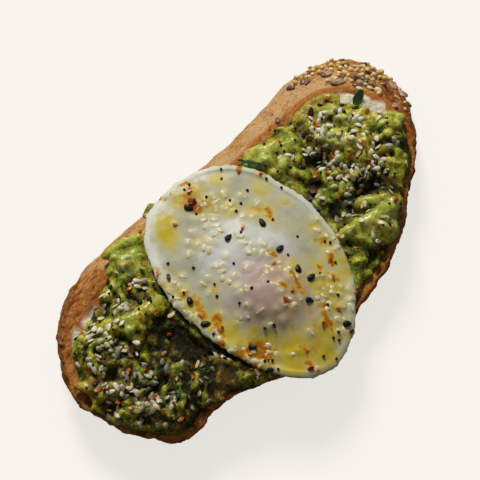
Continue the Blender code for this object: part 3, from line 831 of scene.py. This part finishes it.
white = remeshed(copy_of("fried_egg", "fried_egg_finished"), EGG_VOXEL)
points, outward = surface_of(white)
points = evened_points(white, points, 8)
upper = eased(outward[:, 2], 0.0, 0.5)
well_in = eased(evened(white, upper, 60), 0.9, 1.0)
points[:, 2] += (evened(white, points[:, 2], 320) - points[:, 2]) * well_in
rim = 1 - np.abs(outward[:, 2])
ragged = 0.7 * lumps(points, 5.0, 4.0, squash=(1, 1, 4)) + 0.85 * lumps(points, 2.0, 8.0, squash=(1, 1, 4))
flat_out = outward * (1, 1, 0)
points = points + flat_out * (ragged * eased(rim, 0.3, 0.9))[:, None]
points[:, 1] += spots(points, [(-10, -46, 12, 2.0), (2, -42, 9, 1.4)])  # the near rim is a little flattened
swell = 0.28 * lumps(points, 8.0, 1.0) + 0.10 * lumps(points, 3.5, 5.0)
swell += 0.5 * spots(points, [(x, y, 2.0, 1.0) for x, y in egg_sesame])
swell += 0.30 * spots(points, [(x, y, 1.6, 1.0) for x, y, _, _ in CHILLI_ON_EGG])
points = points + outward * (swell * upper)[:, None]
reshape(white, points)
mottle = lumps(points, 3.0, 14.0) + 0.6 * lumps(points, 1.3, 18.0)
SEEP_SEEDS = (3.0, 23.0, 43.0)
seeping = points + 1.5 * (wander(points, 2.6, SEEP_SEEDS) + 0.5 * wander(points, 1.2, SEEP_SEEDS))
paint(white, "oil", np.clip(spots(seeping, OIL) * (1 + 0.3 * mottle), 0, 1) * upper)
amber = spots(seeping, [(x, y, 1.4 * big, 0.5) for x, y, _, big in CHILLI_ON_EGG])
for x0, y0, x1, y1, *breadth in AMBER:
    along = [(x0 + (x1 - x0) * t, y0 + (y1 - y0) * t, *breadth) for t in np.linspace(0, 1, 5)]
    amber = np.maximum(amber, spots(seeping, along))
paint(white, "amber", np.clip(amber * (0.9 + 0.8 * lumps(points, 1.5, 91.0) + 0.3 * mottle), 0, 1) * upper)
x, y, radius = YOLK
away = np.hypot(points[:, 0] - x, points[:, 1] - y) / radius
paint(white, "yolk", (1 - eased(away + 0.08 * mottle, 0.45, 1.35)) * upper)
x, y, reach_x, reach_y = LENS_OF_WHITE
away = np.hypot((points[:, 0] - x) / reach_x, (points[:, 1] - y) / reach_y)
paint(white, "lens", 1 - eased(away + 0.10 * mottle, 0.75, 1.05))
paint(white, "seeded", spots(points, [(x, y, 1.8, 1.0) for x, y in egg_sesame]) * upper)
SMOKED = [(-12, -24, 8, 0.6), (-18, -20, 6, 0.4), (-3, -24, 8, 0.7), (4, -16, 7, 0.7), (4, -8, 6, 0.4)]
paint(white, "smoked", spots(points, SMOKED))
# Painted shade: the white is painted darker at these spots, where the egg lies in soft shade.
EGG_SHADE_SPOTS = [
    (7, -20, 9, 0.9), (14, -10, 8, 0.7), (2, -3, 7, 0.7), (25, -6, 7, 0.6), (2, 37, 6, 1.0),
    (-33, 14, 5, 0.5), (-30, -21, 5, 0.8), (23, -26, 7, 0.9), (-25, -23, 6, 1.0), (20, -33, 6, 0.6),
]
paint(white, "egg_shade", spots(seeping, EGG_SHADE_SPOTS) * upper)
outline = points[np.abs(outward[:, 2]) < 0.25]
rim_places = finder(outline)
from_rim = np.array([rim_places.find(place)[2] for place in points.tolist()])
# Painted highlight: the outer band of the white is painted whiter on the side facing the window; a narrower
# band all round the rim is whiter as the set edge's own colour.
facing_window = eased(0.5 * points[:, 1] - 0.7 * points[:, 0], -8, 14)
thin = (1 - eased(from_rim + 1.2 * mottle, 2.0, 7.0)) * facing_window
paint(white, "set", np.maximum(thin, 0.6 * (1 - eased(from_rim + mottle, 1.0, 4.5))) * upper)
white.data.shade_smooth()

albumen, tree, shader, place = new_material(
    "egg white", Roughness=0.5, Specular_IOR_Level=0.12, Subsurface_Weight=0.12,
    Subsurface_Radius=(1.0, 0.9, 0.6), Subsurface_Scale=0.5 * MM, Coat_Weight=0.06, Coat_Roughness=0.10,
)
cast = graded(tree, grain(tree, place, 7.0, 3), [(0.3, (0.40, 0.395, 0.27)), (0.7, (0.51, 0.52, 0.40))])
clear = graded(tree, grain(tree, place, 9.0, 2), [(0.3, (0.59, 0.61, 0.555)), (0.7, (0.67, 0.70, 0.675))])
white_colour = over(tree, cast, clear, mask_of(tree, "lens"))
# The rim's whiter band: partly its own colour, partly painted highlight on the window side.
white_colour = over(tree, white_colour, (0.80, 0.83, 0.76), times(tree, mask_of(tree, "set"), 0.9))
yolk_colour = over(tree, (0.40, 0.265, 0.225), (0.43, 0.22, 0.10), mask_of(tree, "smoked"))
white_colour = over(tree, white_colour, yolk_colour, times(tree, mask_of(tree, "yolk"), 0.92))
white_colour = over(tree, white_colour, (0.66, 0.59, 0.32), times(tree, mask_of(tree, "seeded"), 0.6))
white_colour = stained(tree, white_colour, mask_of(tree, "oil"), [
    (0.1, (0.62, 0.59, 0.37)), (0.45, (0.61, 0.52, 0.14)), (0.9, (0.58, 0.45, 0.016)),
])
white_colour = stained(tree, white_colour, mask_of(tree, "amber"), [
    (0.1, (0.60, 0.50, 0.13)), (0.4, (0.61, 0.31, 0.012)), (0.9, (0.46, 0.145, 0.002)),
])
# Painted shade on the white.
white_colour = over(tree, white_colour, (0.76, 0.75, 0.70), mask_of(tree, "egg_shade"), "MULTIPLY")
white_colour = over(tree, white_colour, (0.25, 0.16, 0.04), fleck(tree, place, 0.8, 0.05))
tree.links.new(white_colour, shader.inputs["Base Color"])
bumped(tree, shader, grain(tree, place, 1.4, 3, 0.5), 0.12, 0.6)
white.data.materials.append(albumen)
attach(white, "root")
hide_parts("fried_egg")


# ---------------------------------------------------------------- White sesame
# Hulled sesame seeds, flat drops 3 mm long, strewn thickly on the mash and fried into the egg.

SEED_RINGS, SEED_SIDES = 6, 8


def seed_shape(name, length, width, thickness, blunt=0.45, sharp=0.75):
    """A flat drop lying along X, in millimetres, blunt at one end and pointed at the other."""
    fullest = blunt / (blunt + sharp)
    peak = (1 - fullest) ** sharp * fullest**blunt
    edit = bmesh.new()
    rings = []
    for k in range(1, SEED_RINGS + 1):
        share = k / (SEED_RINGS + 1)
        wide = (1 - share) ** sharp * share**blunt / peak / 2
        turns = [math.tau * i / SEED_SIDES for i in range(SEED_SIDES)]
        rings.append([
            edit.verts.new(Vector(((share - 0.5) * length, wide * width * math.cos(a),
                                   wide * thickness * math.sin(a))) * MM)
            for a in turns
        ])
    ends = [edit.verts.new(Vector((side * length / 2 * MM, 0, 0))) for side in (-1, 1)]
    for first, second in zip(rings, rings[1:]):
        for i in range(SEED_SIDES):
            j = (i + 1) % SEED_SIDES
            edit.faces.new((first[i], first[j], second[j], second[i]))
    for i in range(SEED_SIDES):
        j = (i + 1) % SEED_SIDES
        edit.faces.new((ends[0], rings[0][j], rings[0][i]))
        edit.faces.new((ends[1], rings[-1][i], rings[-1][j]))
    bmesh.ops.recalc_face_normals(edit, faces=edit.faces)
    return shaped(name, edit)


# What is set down one by one: a shape on each given point, turned and sized as the point's own values say.
set_down, down_inputs, given, result = new_group("set down", "GeometryNodeTree", "Geometry", "Geometry", {
    "Places": ("Geometry",), "Shape": ("Object",), "Material": ("Material",),
})
shape = put(set_down, "GeometryNodeObjectInfo", {"Object": given["Shape"]})
turn = put(set_down, "GeometryNodeInputNamedAttribute", {"Name": "turn"}, data_type="FLOAT_VECTOR")
size = put(set_down, "GeometryNodeInputNamedAttribute", {"Name": "size"}, data_type="FLOAT_VECTOR")
turned = put(set_down, "FunctionNodeEulerToRotation", {0: turn.outputs["Attribute"]})
copies = put(set_down, "GeometryNodeInstanceOnPoints", {
    "Points": given["Places"], "Instance": shape.outputs["Geometry"], "Rotation": turned.outputs[0],
    "Scale": size.outputs["Attribute"],
})
realized(set_down, copies, given["Material"], result)

WELL_ABOVE = 60.0  # a height clear of the whole toast


def skin_of(*pieces):
    """The outer skins of pieces, ready for finding the surface below a place."""
    return [BVHTree.FromObject(piece, bpy.context.evaluated_depsgraph_get()) for piece in pieces]


def lay(name, shape, material, skins, places, lift=0.0, tilt=0.3, smallest=0.9, largest=1.1, seed=0):
    """A new piece: one shape laid at each place, on the surface under it.

    A place is X and Y, and may give its turn in degrees and its size as well.
    """
    chance = random.Random(seed)
    rests, turns, sizes = [], [], []
    for x, y, *own in places:
        start = (centre + Vector((x, y, WELL_ABOVE))) * MM
        hits = [skin.ray_cast(start, Vector((0, 0, -1))) for skin in skins]
        hits = [hit for hit in hits if hit[0]]
        if not hits:
            continue
        at, facing, *_ = max(hits, key=lambda hit: hit[0].z)
        facing = facing if facing.z > 0.2 else Vector((0, 0, 1))
        around = own[0] if own else chance.uniform(0, 360)
        wide = own[1] if len(own) > 1 else 1.0
        roll, pitch = [Matrix.Rotation(chance.uniform(-tilt, tilt), 3, axis) for axis in "XY"]
        standing = facing.to_track_quat("Z", "X").to_matrix()
        heading = math.radians(around)
        flat = standing.transposed() @ Vector((math.cos(heading), math.sin(heading), 0))
        about = Matrix.Rotation(math.atan2(flat.y, flat.x), 3, "Z")
        turns.append((standing @ about @ (roll @ pitch)).to_euler())
        rests.append(at + facing * lift * MM)
        sizes.append([wide * chance.uniform(smallest, largest) for _ in range(3)])
    mesh = bpy.data.meshes.new(name)
    mesh.from_pydata(rests, [], [])
    for key, values in (("turn", turns), ("size", sizes)):
        layer = mesh.attributes.new(key, "FLOAT_VECTOR", "POINT")
        layer.data.foreach_set("vector", np.array([list(v) for v in values], np.float32).ravel())
    return grown(name, mesh, set_down, down_inputs, {"Shape": shape, "Material": material})


sesame, tree, shader, place = new_material(
    "hulled sesame", Roughness=0.38, Specular_IOR_Level=0.3, Subsurface_Weight=0.1,
    Subsurface_Radius=(1.0, 0.8, 0.5), Subsurface_Scale=0.6 * MM,
)
hull = graded(tree, grain(tree, place, 2.4, 1), [
    (0.3, (0.60, 0.50, 0.28)), (0.45, (0.73, 0.68, 0.48)), (0.7, (0.85, 0.81, 0.66)),
])
# Seeds down in the mash's hollows are painted dark, as painted shade.
tree.links.new(over(tree, (0.13, 0.125, 0.05), hull, mask_of(tree, "unshaded")), shader.inputs["Base Color"])
bumped(tree, shader, grain(tree, place, 0.5, 2), 0.06, 0.6)

SEEDS_ON_MASH = [  # X, Y, radius and count of each group of sesame on the mash
    (-38, 41, 3, 3), (-38, 31, 3, 5), (-52, 37, 3, 5), (-50, 29, 3, 4), (-54, 26, 2, 2), (-64, 30, 3, 5),
    (-60, 29, 3, 4), (-66, 26, 3, 5), (-63, 22, 3, 5), (-66, 20, 3, 3), (-61, 17, 3, 3), (-56, 15, 2, 1),
    (-78, 25, 2, 2), (-74, 21, 2, 4), (-73, 17, 2, 2), (-78, 10, 3, 5), (-69, 10, 2, 2), (-65, 4, 3, 5),
    (-63, -1, 3, 4), (-72, 2, 3, 5), (-67, -3, 2, 2), (-74, -6, 3, 5), (-71, -8, 3, 4), (-81, 2, 2, 2),
    (-52, 2, 3, 1), (-57, 1, 2, 2), (-50, -5, 3, 2), (-55, -7, 2, 2), (-46, -9, 3, 2), (-50, -15, 3, 3),
    (-55, -18, 3, 2), (-64, -9, 3, 3), (-67, -13, 3, 2), (-74, -15, 2, 2), (-61, -14, 3, 2),
    (-41, -11, 2, 2), (70, 23, 3, 2), (64, 26, 3, 4), (58, 23, 3, 4), (57, 19, 2, 2), (43, 24, 2, 2),
    (49, 19, 3, 4), (53, 16, 3, 4), (62, 21, 3, 3), (72, 15, 3, 5), (68, 9, 3, 4), (63, 12, 3, 3),
    (71, 3, 2, 2), (74, -2, 3, 2), (68, -2, 3, 4), (54, 9, 3, 4), (47, 12, 2, 2), (51, 9, 2, 2),
    (56, 2, 3, 5), (57, -3, 3, 6), (63, -5, 3, 5), (54, -1, 2, 2), (49, 4, 3, 3), (47, -2, 3, 2),
    (45, 3, 2, 1), (39, 3, 2, 2), (44, -6, 2, 2), (41, -11, 3, 3), (37, -8, 3, 2), (49, -11, 2, 2),
    (41, -19, 3, 2), (47, -24, 2, 2), (39, -25, 2, 2), (57, -11, 3, 2), (80, 10, 4, 2), (60, -14, 3, 2),
    (74, -12, 3, 2), (-86, 14, 3, 2), (-60, -20, 4, 2), (-84, 3, 3, 2),
]
drop = seed_shape("sesame seed", 3.4, 2.0, 0.85, blunt=0.5, sharp=0.85)
points, outward = surface_of(mash)
upward = eased(outward[:, 2], 0.2, 0.7) * (1 - under_egg(points, 1.0))
THICK = [  # X, Y, radius, strength: where the seasoning lies thickest
    (-68, 14, 12, 0.8), (-62, -8, 10, 0.2), (-74, -4, 12, 0.7), (-82, 8, 9, 0.8), (-50, 30, 9, 0.8),
    (-60, 24, 10, 1.0), (68, 20, 14, 0.9), (72, 0, 10, 0.8), (57, 2, 14, 1.0), (46, -8, 10, 0.6),
    (50, 20, 8, 0.7),
]
cover = spots(points, THICK) * upward
paint(mash, "seasoned", np.clip(cover * (0.6 + 1.2 * lumps(points, 6.0, 40.0)), 0, 1))
skins = skin_of(mash, white)
thick_places = grouped(SEEDS_ON_MASH, 1.7)
laid = lay("sesame laid", drop, sesame, skins, thick_places, lift=0.35, tilt=0.6, smallest=0.85,
           largest=1.15, seed=4)
stray = strew("sesame stray", Surface=mash, Shape=drop, Where="seasoned", Spacing=4.6, Crowding=2.5e4,
              Smallest=(0.8, 0.82, 0.8), Largest=(1.1, 1.12, 1.2), Tilt=0.6, Lift=0.25, Seed=21,
              Material=sesame)
white_sesame = joined(laid, stray)
white_sesame.name = "white_sesame"
# Paints shade on the seeds that lie in the mash's hollows.
shade_from_mash(white_sesame)
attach(white_sesame, "root")


def grained(name, size, detail, stops, pits=None, **finish):
    """A material coloured along a ramp by noise; pits are the size, detail and depth of its bumps."""
    material, tree, shader, place = new_material(name, **finish)
    tree.links.new(graded(tree, grain(tree, place, size, detail), stops), shader.inputs["Base Color"])
    if pits:
        bumped(tree, shader, grain(tree, place, *pits[:2]), pits[2], 0.8)
    return material


soaked = grained(
    "fried sesame", 2.4, 1,
    [(0.3, (0.58, 0.45, 0.18)), (0.5, (0.69, 0.62, 0.38)), (0.7, (0.76, 0.72, 0.53))],
    Roughness=0.4, Specular_IOR_Level=0.2, Subsurface_Weight=0.3, Subsurface_Radius=(1.0, 0.8, 0.4),
    Subsurface_Scale=0.8 * MM, Coat_Weight=0.12, Coat_Roughness=0.1,
)
fried_sesame = lay("fried_sesame", drop, soaked, skins, egg_sesame, lift=-0.46, tilt=0.12, smallest=1.1,
                   largest=1.4, seed=5)
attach(fried_sesame, "root")


# ---------------------------------------------------------------- Black sesame
# Unhulled black sesame, the same drops a little plumper, pointed and near black.

black = grained("black sesame", 1.2, 2, [
    (0.35, (0.006, 0.006, 0.008)), (0.75, (0.028, 0.024, 0.026)),
], pits=(0.35, 2, 0.08), Roughness=0.4, Specular_IOR_Level=0.22)
dark_drop = seed_shape("black sesame seed", 3.6, 2.3, 1.4)
BLACK_ON_EGG = [  # X, Y, turn
    (-1, 17, 5), (13, 12, 70), (9, -1, 5), (7, -12, 45), (8, -18, -5), (0, -24, -50), (-33, 0, -40),
    (-34, 22, -15), (-1, 38, -70), (4, -40, -45), (26, -20, 65), (33, 1, 75), (-28, -20, -50),
    (-30, 11, 60),
]
BLACK_ON_MASH = [
    (43, 18, 45), (53, -3, -40), (53, 26, 0), (77, 19, 0), (75, 4, 40), (66, 11, 0), (68, 30, 20),
    (74, 24, -30), (72, 21, 50), (66, 23, 0), (63, 25, -45), (-46, 38, 30), (-47, 33, 80), (-40, 23, -20),
    (-43, 25, 40), (-69, 34, -50), (-70, 28, -20), (-73, 26, 60), (-65, 28, 10), (-30, -31, -45),
    (-76, 18, 10), (-62, -12, 50), (-52, -15, -30), (-58, -2, 60), (57, 4, -10), (64, -3, 30),
    (51, 16, 30), (-79, 15, 0), (-69, 2, 30),
]
black_sesame = lay("black_sesame", dark_drop, black, skins, BLACK_ON_EGG, lift=0.4, tilt=0.2, smallest=1.0,
                   largest=1.2, seed=6)
on_mash = lay("black on mash", dark_drop, black, skins, BLACK_ON_MASH, lift=0.25, tilt=0.5, smallest=0.75,
              largest=1.0, seed=36)
more_black = strew("more black", Surface=mash, Shape=dark_drop, Where="seasoned", Spacing=8.0,
                   Crowding=2e4, Smallest=(0.7, 0.7, 0.7), Largest=(0.9, 0.9, 0.9), Tilt=0.6, Lift=0.1,
                   Seed=31, Material=black)
joined(black_sesame, on_mash, more_black)
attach(black_sesame, "root")


# ---------------------------------------------------------------- Poppy seed
# Poppy seeds, round grains 1 mm across, blue-black, strewn with the sesame.

poppy = grained("poppy seed", 0.8, 1, [
    (0.3, (0.005, 0.005, 0.006)), (0.8, (0.024, 0.022, 0.028)),
], Roughness=0.45, Specular_IOR_Level=0.22)
bead = lump_shape("poppy grain", 0.25, 9.0)
POPPY_ON_EGG = [
    (20, 40), (17, 37), (7, 45), (4, 45), (7, 36), (-1, 34), (12, 28), (10, 23), (14, 24), (20, 26),
    (29, 24), (30, 17), (17, 10), (18, -2), (24, -11), (25, -13), (9, -5), (20, -20), (-24, 28),
    (-19, 19), (-8, 8), (-19, 8), (-22, 4), (-19, -5), (-29, 15), (-33, 17), (-38, 5), (-34, -5),
    (-38, -7), (-38, -15), (-12, -5), (-6, -8), (-20, -19), (10, -30), (4, -30), (-1, -40), (-4, -40),
    (-3, -42), (-12, -42), (-9, -46), (-29, -27), (-27, -29), (-31, -30), (-28, -33), (4, 15),
]
on_egg = lay("poppy on egg", bead, poppy, skins, POPPY_ON_EGG, lift=0.25, tilt=0.5, smallest=0.5,
             largest=0.66, seed=7)
paint(mash, "dust", np.clip(0.3 * upward + cover * 0.7, 0, 1))
dust = strew("poppy_seeds", Surface=mash, Shape=bead, Where="dust", Spacing=2.6, Crowding=4e4,
             Smallest=(0.50, 0.44, 0.44), Largest=(0.66, 0.56, 0.56), Tilt=1.0, Lift=0.35, Seed=41,
             Material=poppy)
joined(dust, on_egg)
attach(dust, "root")


# ---------------------------------------------------------------- Chilli flakes
# Crushed dried chilli: thin curled chips of skin, orange to maroon, that bleed orange oil into the egg.


def chip_shape(name, length, width, thickness, curl, seed, corners=8):
    """A thin uneven chip in millimetres, curled up at its ends."""
    chance = random.Random(seed)
    edit = bmesh.new()
    outline = []
    for i in range(corners):
        a = math.tau * i / corners
        far = chance.uniform(0.7, 1.1)
        x, y = far * length / 2 * math.cos(a), far * width / 2 * math.sin(a)
        outline.append((x, y, curl * (x / length) ** 2 + chance.uniform(-0.12, 0.12)))
    layers = [[edit.verts.new(Vector((x, y, z + side * thickness / 2)) * MM) for x, y, z in outline]
              for side in (1, -1)]
    for layer, side in zip(layers, (1, -1)):
        hub = edit.verts.new(Vector((0, 0, side * thickness / 2)) * MM)
        for i in range(corners):
            edit.faces.new((hub, layer[i], layer[(i + 1) % corners]))
    for i in range(corners):
        j = (i + 1) % corners
        edit.faces.new((layers[0][i], layers[0][j], layers[1][j], layers[1][i]))
    bmesh.ops.recalc_face_normals(edit, faces=edit.faces)
    return shaped(name, edit)


chilli = grained("dried chilli", 3.0, 1, [
    (0.35, (0.13, 0.020, 0.008)), (0.47, (0.46, 0.085, 0.010)), (0.62, (0.68, 0.22, 0.03)),
], pits=(0.4, 2, 0.1), Roughness=0.34, Specular_IOR_Level=0.3, Coat_Weight=0.1, Coat_Roughness=0.1)
flake = chip_shape("chilli flake", 3.0, 1.7, 0.35, 2.2, 3, corners=5)
CHILLI_ON_MASH = [  # X, Y, turn, size
    (65, 38, -45, 1.5), (60, 25, 60, 1.5), (54, 18, 30, 1.2), (55, 12, 60, 1.1), (66, 6, -48, 1.6),
    (78, 14, 0, 1.0), (44, 11, 0, 1.2), (48, 8, -20, 1.2), (62, -1, -50, 1.7), (52, 1, 30, 0.9),
    (43, -1, -20, 1.2), (56, -20, 20, 1.3), (59, 6, 0, 1.3), (-41, 32, 0, 1.2), (-54, 35, 30, 1.2),
    (-56, 38, -40, 1.2), (-76, 20, 50, 1.4), (-67, 9, 0, 1.1), (-61, 14, -40, 1.0), (-78, 4, 0, 1.4),
    (-80, 12, -30, 1.5), (-68, -6, -10, 1.4), (-53, 4, 50, 1.2), (-52, -11, 60, 1.0),
    (-54, -21, -30, 0.9), (-68, -19, 0, 1.2), (-62, 5, 30, 1.1),
]
chilli_flakes = lay("chilli_flakes", flake, chilli, skins, CHILLI_ON_EGG + CHILLI_ON_MASH, lift=0.25,
                    tilt=0.4, seed=8)
on_mash = strew("chilli on mash", Surface=mash, Shape=flake, Where="dust", Spacing=5.0, Crowding=1.2e4,
                Smallest=(0.5, 0.5, 0.7), Largest=(1.3, 1.2, 1.3), Tilt=0.8, Lift=0.45, Seed=51,
                Material=chilli)
joined(chilli_flakes, on_mash)
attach(chilli_flakes, "root")

maroon = grained("pepper skin", 1.6, 2, [
    (0.35, (0.035, 0.008, 0.006)), (0.7, (0.12, 0.018, 0.010)),
], pits=(0.5, 2, 0.12), Roughness=0.42, Specular_IOR_Level=0.15)
skin_chip = chip_shape("pepper chip", 3.6, 2.8, 0.7, 1.6, 12)
pepper_chips = lay("pepper_chips", skin_chip, maroon, skins, [
    (2, 39, -60, 1.1), (-28, 24, 40, 0.8), (-17, -21, 60, 0.6), (3, -43, -20, 0.7), (63, 30, -15, 1.2),
    (53, 23, 0, 1.1), (39, 8, 30, 1.2), (35, 6, 40, 0.9), (-44, 41, 10, 0.8), (-50, -8, 10, 0.9),
    (-66, -14, 50, 0.8), (-79, 10, 20, 0.7), (-54, 35, 30, 0.7),
], lift=0.45, tilt=0.3, seed=9)
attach(pepper_chips, "root")


# ---------------------------------------------------------------- Dried garlic and onion
# Dried garlic and onion, brittle straw-coloured chips 2 to 4 mm long, lying among the seeds.

garlic = grained(
    "dried garlic", 3.0, 2,
    [(0.35, (0.50, 0.33, 0.10)), (0.55, (0.68, 0.54, 0.27)), (0.7, (0.76, 0.68, 0.46))], pits=(0.5, 3, 0.12),
    Roughness=0.45, Specular_IOR_Level=0.25, Subsurface_Weight=0.15, Subsurface_Radius=(1.0, 0.8, 0.4),
    Subsurface_Scale=0.8 * MM,
)
sliver = chip_shape("garlic chip", 3.4, 1.7, 0.55, 1.0, 27)
garlic_chips = strew("garlic_chips", Surface=mash, Shape=sliver, Where="dust", Spacing=4.6, Crowding=1.6e4,
                     Smallest=(0.6, 0.6, 0.8), Largest=(1.25, 1.2, 1.2), Tilt=0.7, Lift=0.4, Seed=61,
                     Material=garlic)
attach(garlic_chips, "root")


# ---------------------------------------------------------------- Grains baked on the crust
# Millet, linseed, sesame and larger kernels that the loaf's end was rolled in before it was baked. They sit
# half sunk in the crust, thickest at the very end.

points, outward = surface_of(toast)
END = [  # X, Y, radius, strength: the end that was rolled in grains
    (89, 38, 8, 1.0), (97, 29, 8, 1.0), (82, 45, 6, 0.7), (100, 20, 6, 0.7), (98, 10, 6, 0.3),
    (72, 48, 6, 0.2),
]
grainy = spots(points, END) * eased(outward[:, 2], -0.1, 0.3) * eased(-crumb, -0.4, -0.1)
paint(toast, "grains", grainy * eased(points[:, 2], 1.4, 2.4))
crust_skin = skin_of(toast)
millet = grained("millet", 3.0, 1, [
    (0.35, (0.66, 0.40, 0.12)), (0.65, (0.90, 0.70, 0.34)),
], Roughness=0.45, Specular_IOR_Level=0.4)
millet_ball = lump_shape("millet grain", 0.2, 2.0)
MILLET = [
    (87, 45), (84, 44), (74, 48), (88, 37), (93, 35), (99, 31), (101, 30), (101, 27), (100, 23),
    (103, 27), (91, 18), (91, 39), (95, 33), (86, 47), (97, 34), (103, 22), (84, 47), (90, 43), (93, 41),
    (88, 41), (96, 31), (93, 30), (98, 27), (95, 25), (80, 48), (77, 50), (90, 35), (99, 33), (91, 45),
    (104, 25),
]
laid = lay("millet laid", millet_ball, millet, crust_skin, MILLET, lift=0.55, tilt=0.5, smallest=1.0,
           largest=1.3, seed=12)
millet_grains = strew("millet_grains", Surface=toast, Shape=millet_ball, Where="grains", Spacing=2.5,
                      Crowding=1.5e5, Smallest=(0.75, 0.75, 0.7), Largest=(1.15, 1.1, 1.05), Tilt=0.5,
                      Lift=0.35, Seed=71, Material=millet)
joined(millet_grains, laid)
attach(millet_grains, "root")

linseed = grained("linseed", 3.0, 2, [
    (0.35, (0.09, 0.040, 0.028)), (0.65, (0.23, 0.12, 0.085)),
], Roughness=0.35, Specular_IOR_Level=0.5)
linseed_drop = seed_shape("linseed grain", 4.4, 2.4, 1.3)
LINSEED = [
    (82, 48, 45), (76, 46, 40), (71, 48, -60), (54, 40, 60), (91, 31, 0), (97, 26, 20), (97, 21, -40),
    (88, 27, -55), (95, 39, 10), (98, 29, -30), (84, 42, 70), (93, 27, 50), (100, 34, 0),
]
laid = lay("linseeds laid", linseed_drop, linseed, crust_skin, LINSEED, lift=0.45, tilt=0.3, seed=13)
linseeds = strew("linseeds", Surface=toast, Shape=linseed_drop, Where="grains", Spacing=5.0, Crowding=2e4,
                 Smallest=(0.8, 0.8, 0.8), Largest=(1.1, 1.1, 1.1), Tilt=0.3, Lift=0.4, Seed=73,
                 Material=linseed)
joined(linseeds, laid)
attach(linseeds, "root")

kernel = grained("sunflower kernel", 2.5, 3, [
    (0.35, (0.30, 0.165, 0.09)), (0.65, (0.56, 0.38, 0.24)),
], Roughness=0.5, Specular_IOR_Level=0.4)
kernel_drop = seed_shape("kernel", 7.0, 4.2, 2.2)
KERNELS = [
    (86, 41, 30, 0.8), (84, 34, -30, 1.0), (93, 23, 0, 0.85), (101, 19, 60, 0.8), (101, 14, 80, 0.9),
    (91, 10, 40, 0.6), (90, 27, -50, 0.6),
]
kernels = lay("kernels", kernel_drop, kernel, crust_skin, KERNELS, lift=0.4, tilt=0.2, seed=14)
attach(kernels, "root")

crust_sesame = strew("crust_sesame", Surface=toast, Shape=drop, Where="grains", Spacing=3.2, Crowding=6e4,
                     Smallest=(0.85, 0.85, 0.8), Largest=(1.1, 1.1, 1.1), Tilt=0.3, Lift=0.3, Seed=75,
                     Material=soaked)
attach(crust_sesame, "root")


# ---------------------------------------------------------------- Green herbs
# Torn leaves of a fresh herb and one long dark blade, a third of a millimetre thick, tucked into the mash.

herb = grained("green herb", 4.0, 3, [
    (0.35, (0.012, 0.040, 0.012)), (0.65, (0.06, 0.18, 0.028)),
], pits=(0.8, 3, 0.15), Roughness=0.38, Specular_IOR_Level=0.5)
leaf = chip_shape("leaf", 7.5, 4.0, 0.35, 4.0, 33, corners=12)
blade = chip_shape("blade", 13.0, 1.8, 0.3, 2.5, 35, corners=14)
leaves = lay("leaves", leaf, herb, skins + crust_skin,
             [(82, 22, 40, 1.2), (-58, 35, 20, 0.5), (-38, 36, 60, 0.45)], lift=0.9, tilt=0.5, seed=15)
blades = lay("blades", blade, herb, skins, [(30, 32, -62, 1.0), (31, 33.5, -66, 0.9)], lift=0.6, tilt=0.15,
             seed=16)
joined(leaves, blades)
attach(leaves, "root")

bpy.data.objects.remove(egg_solid)
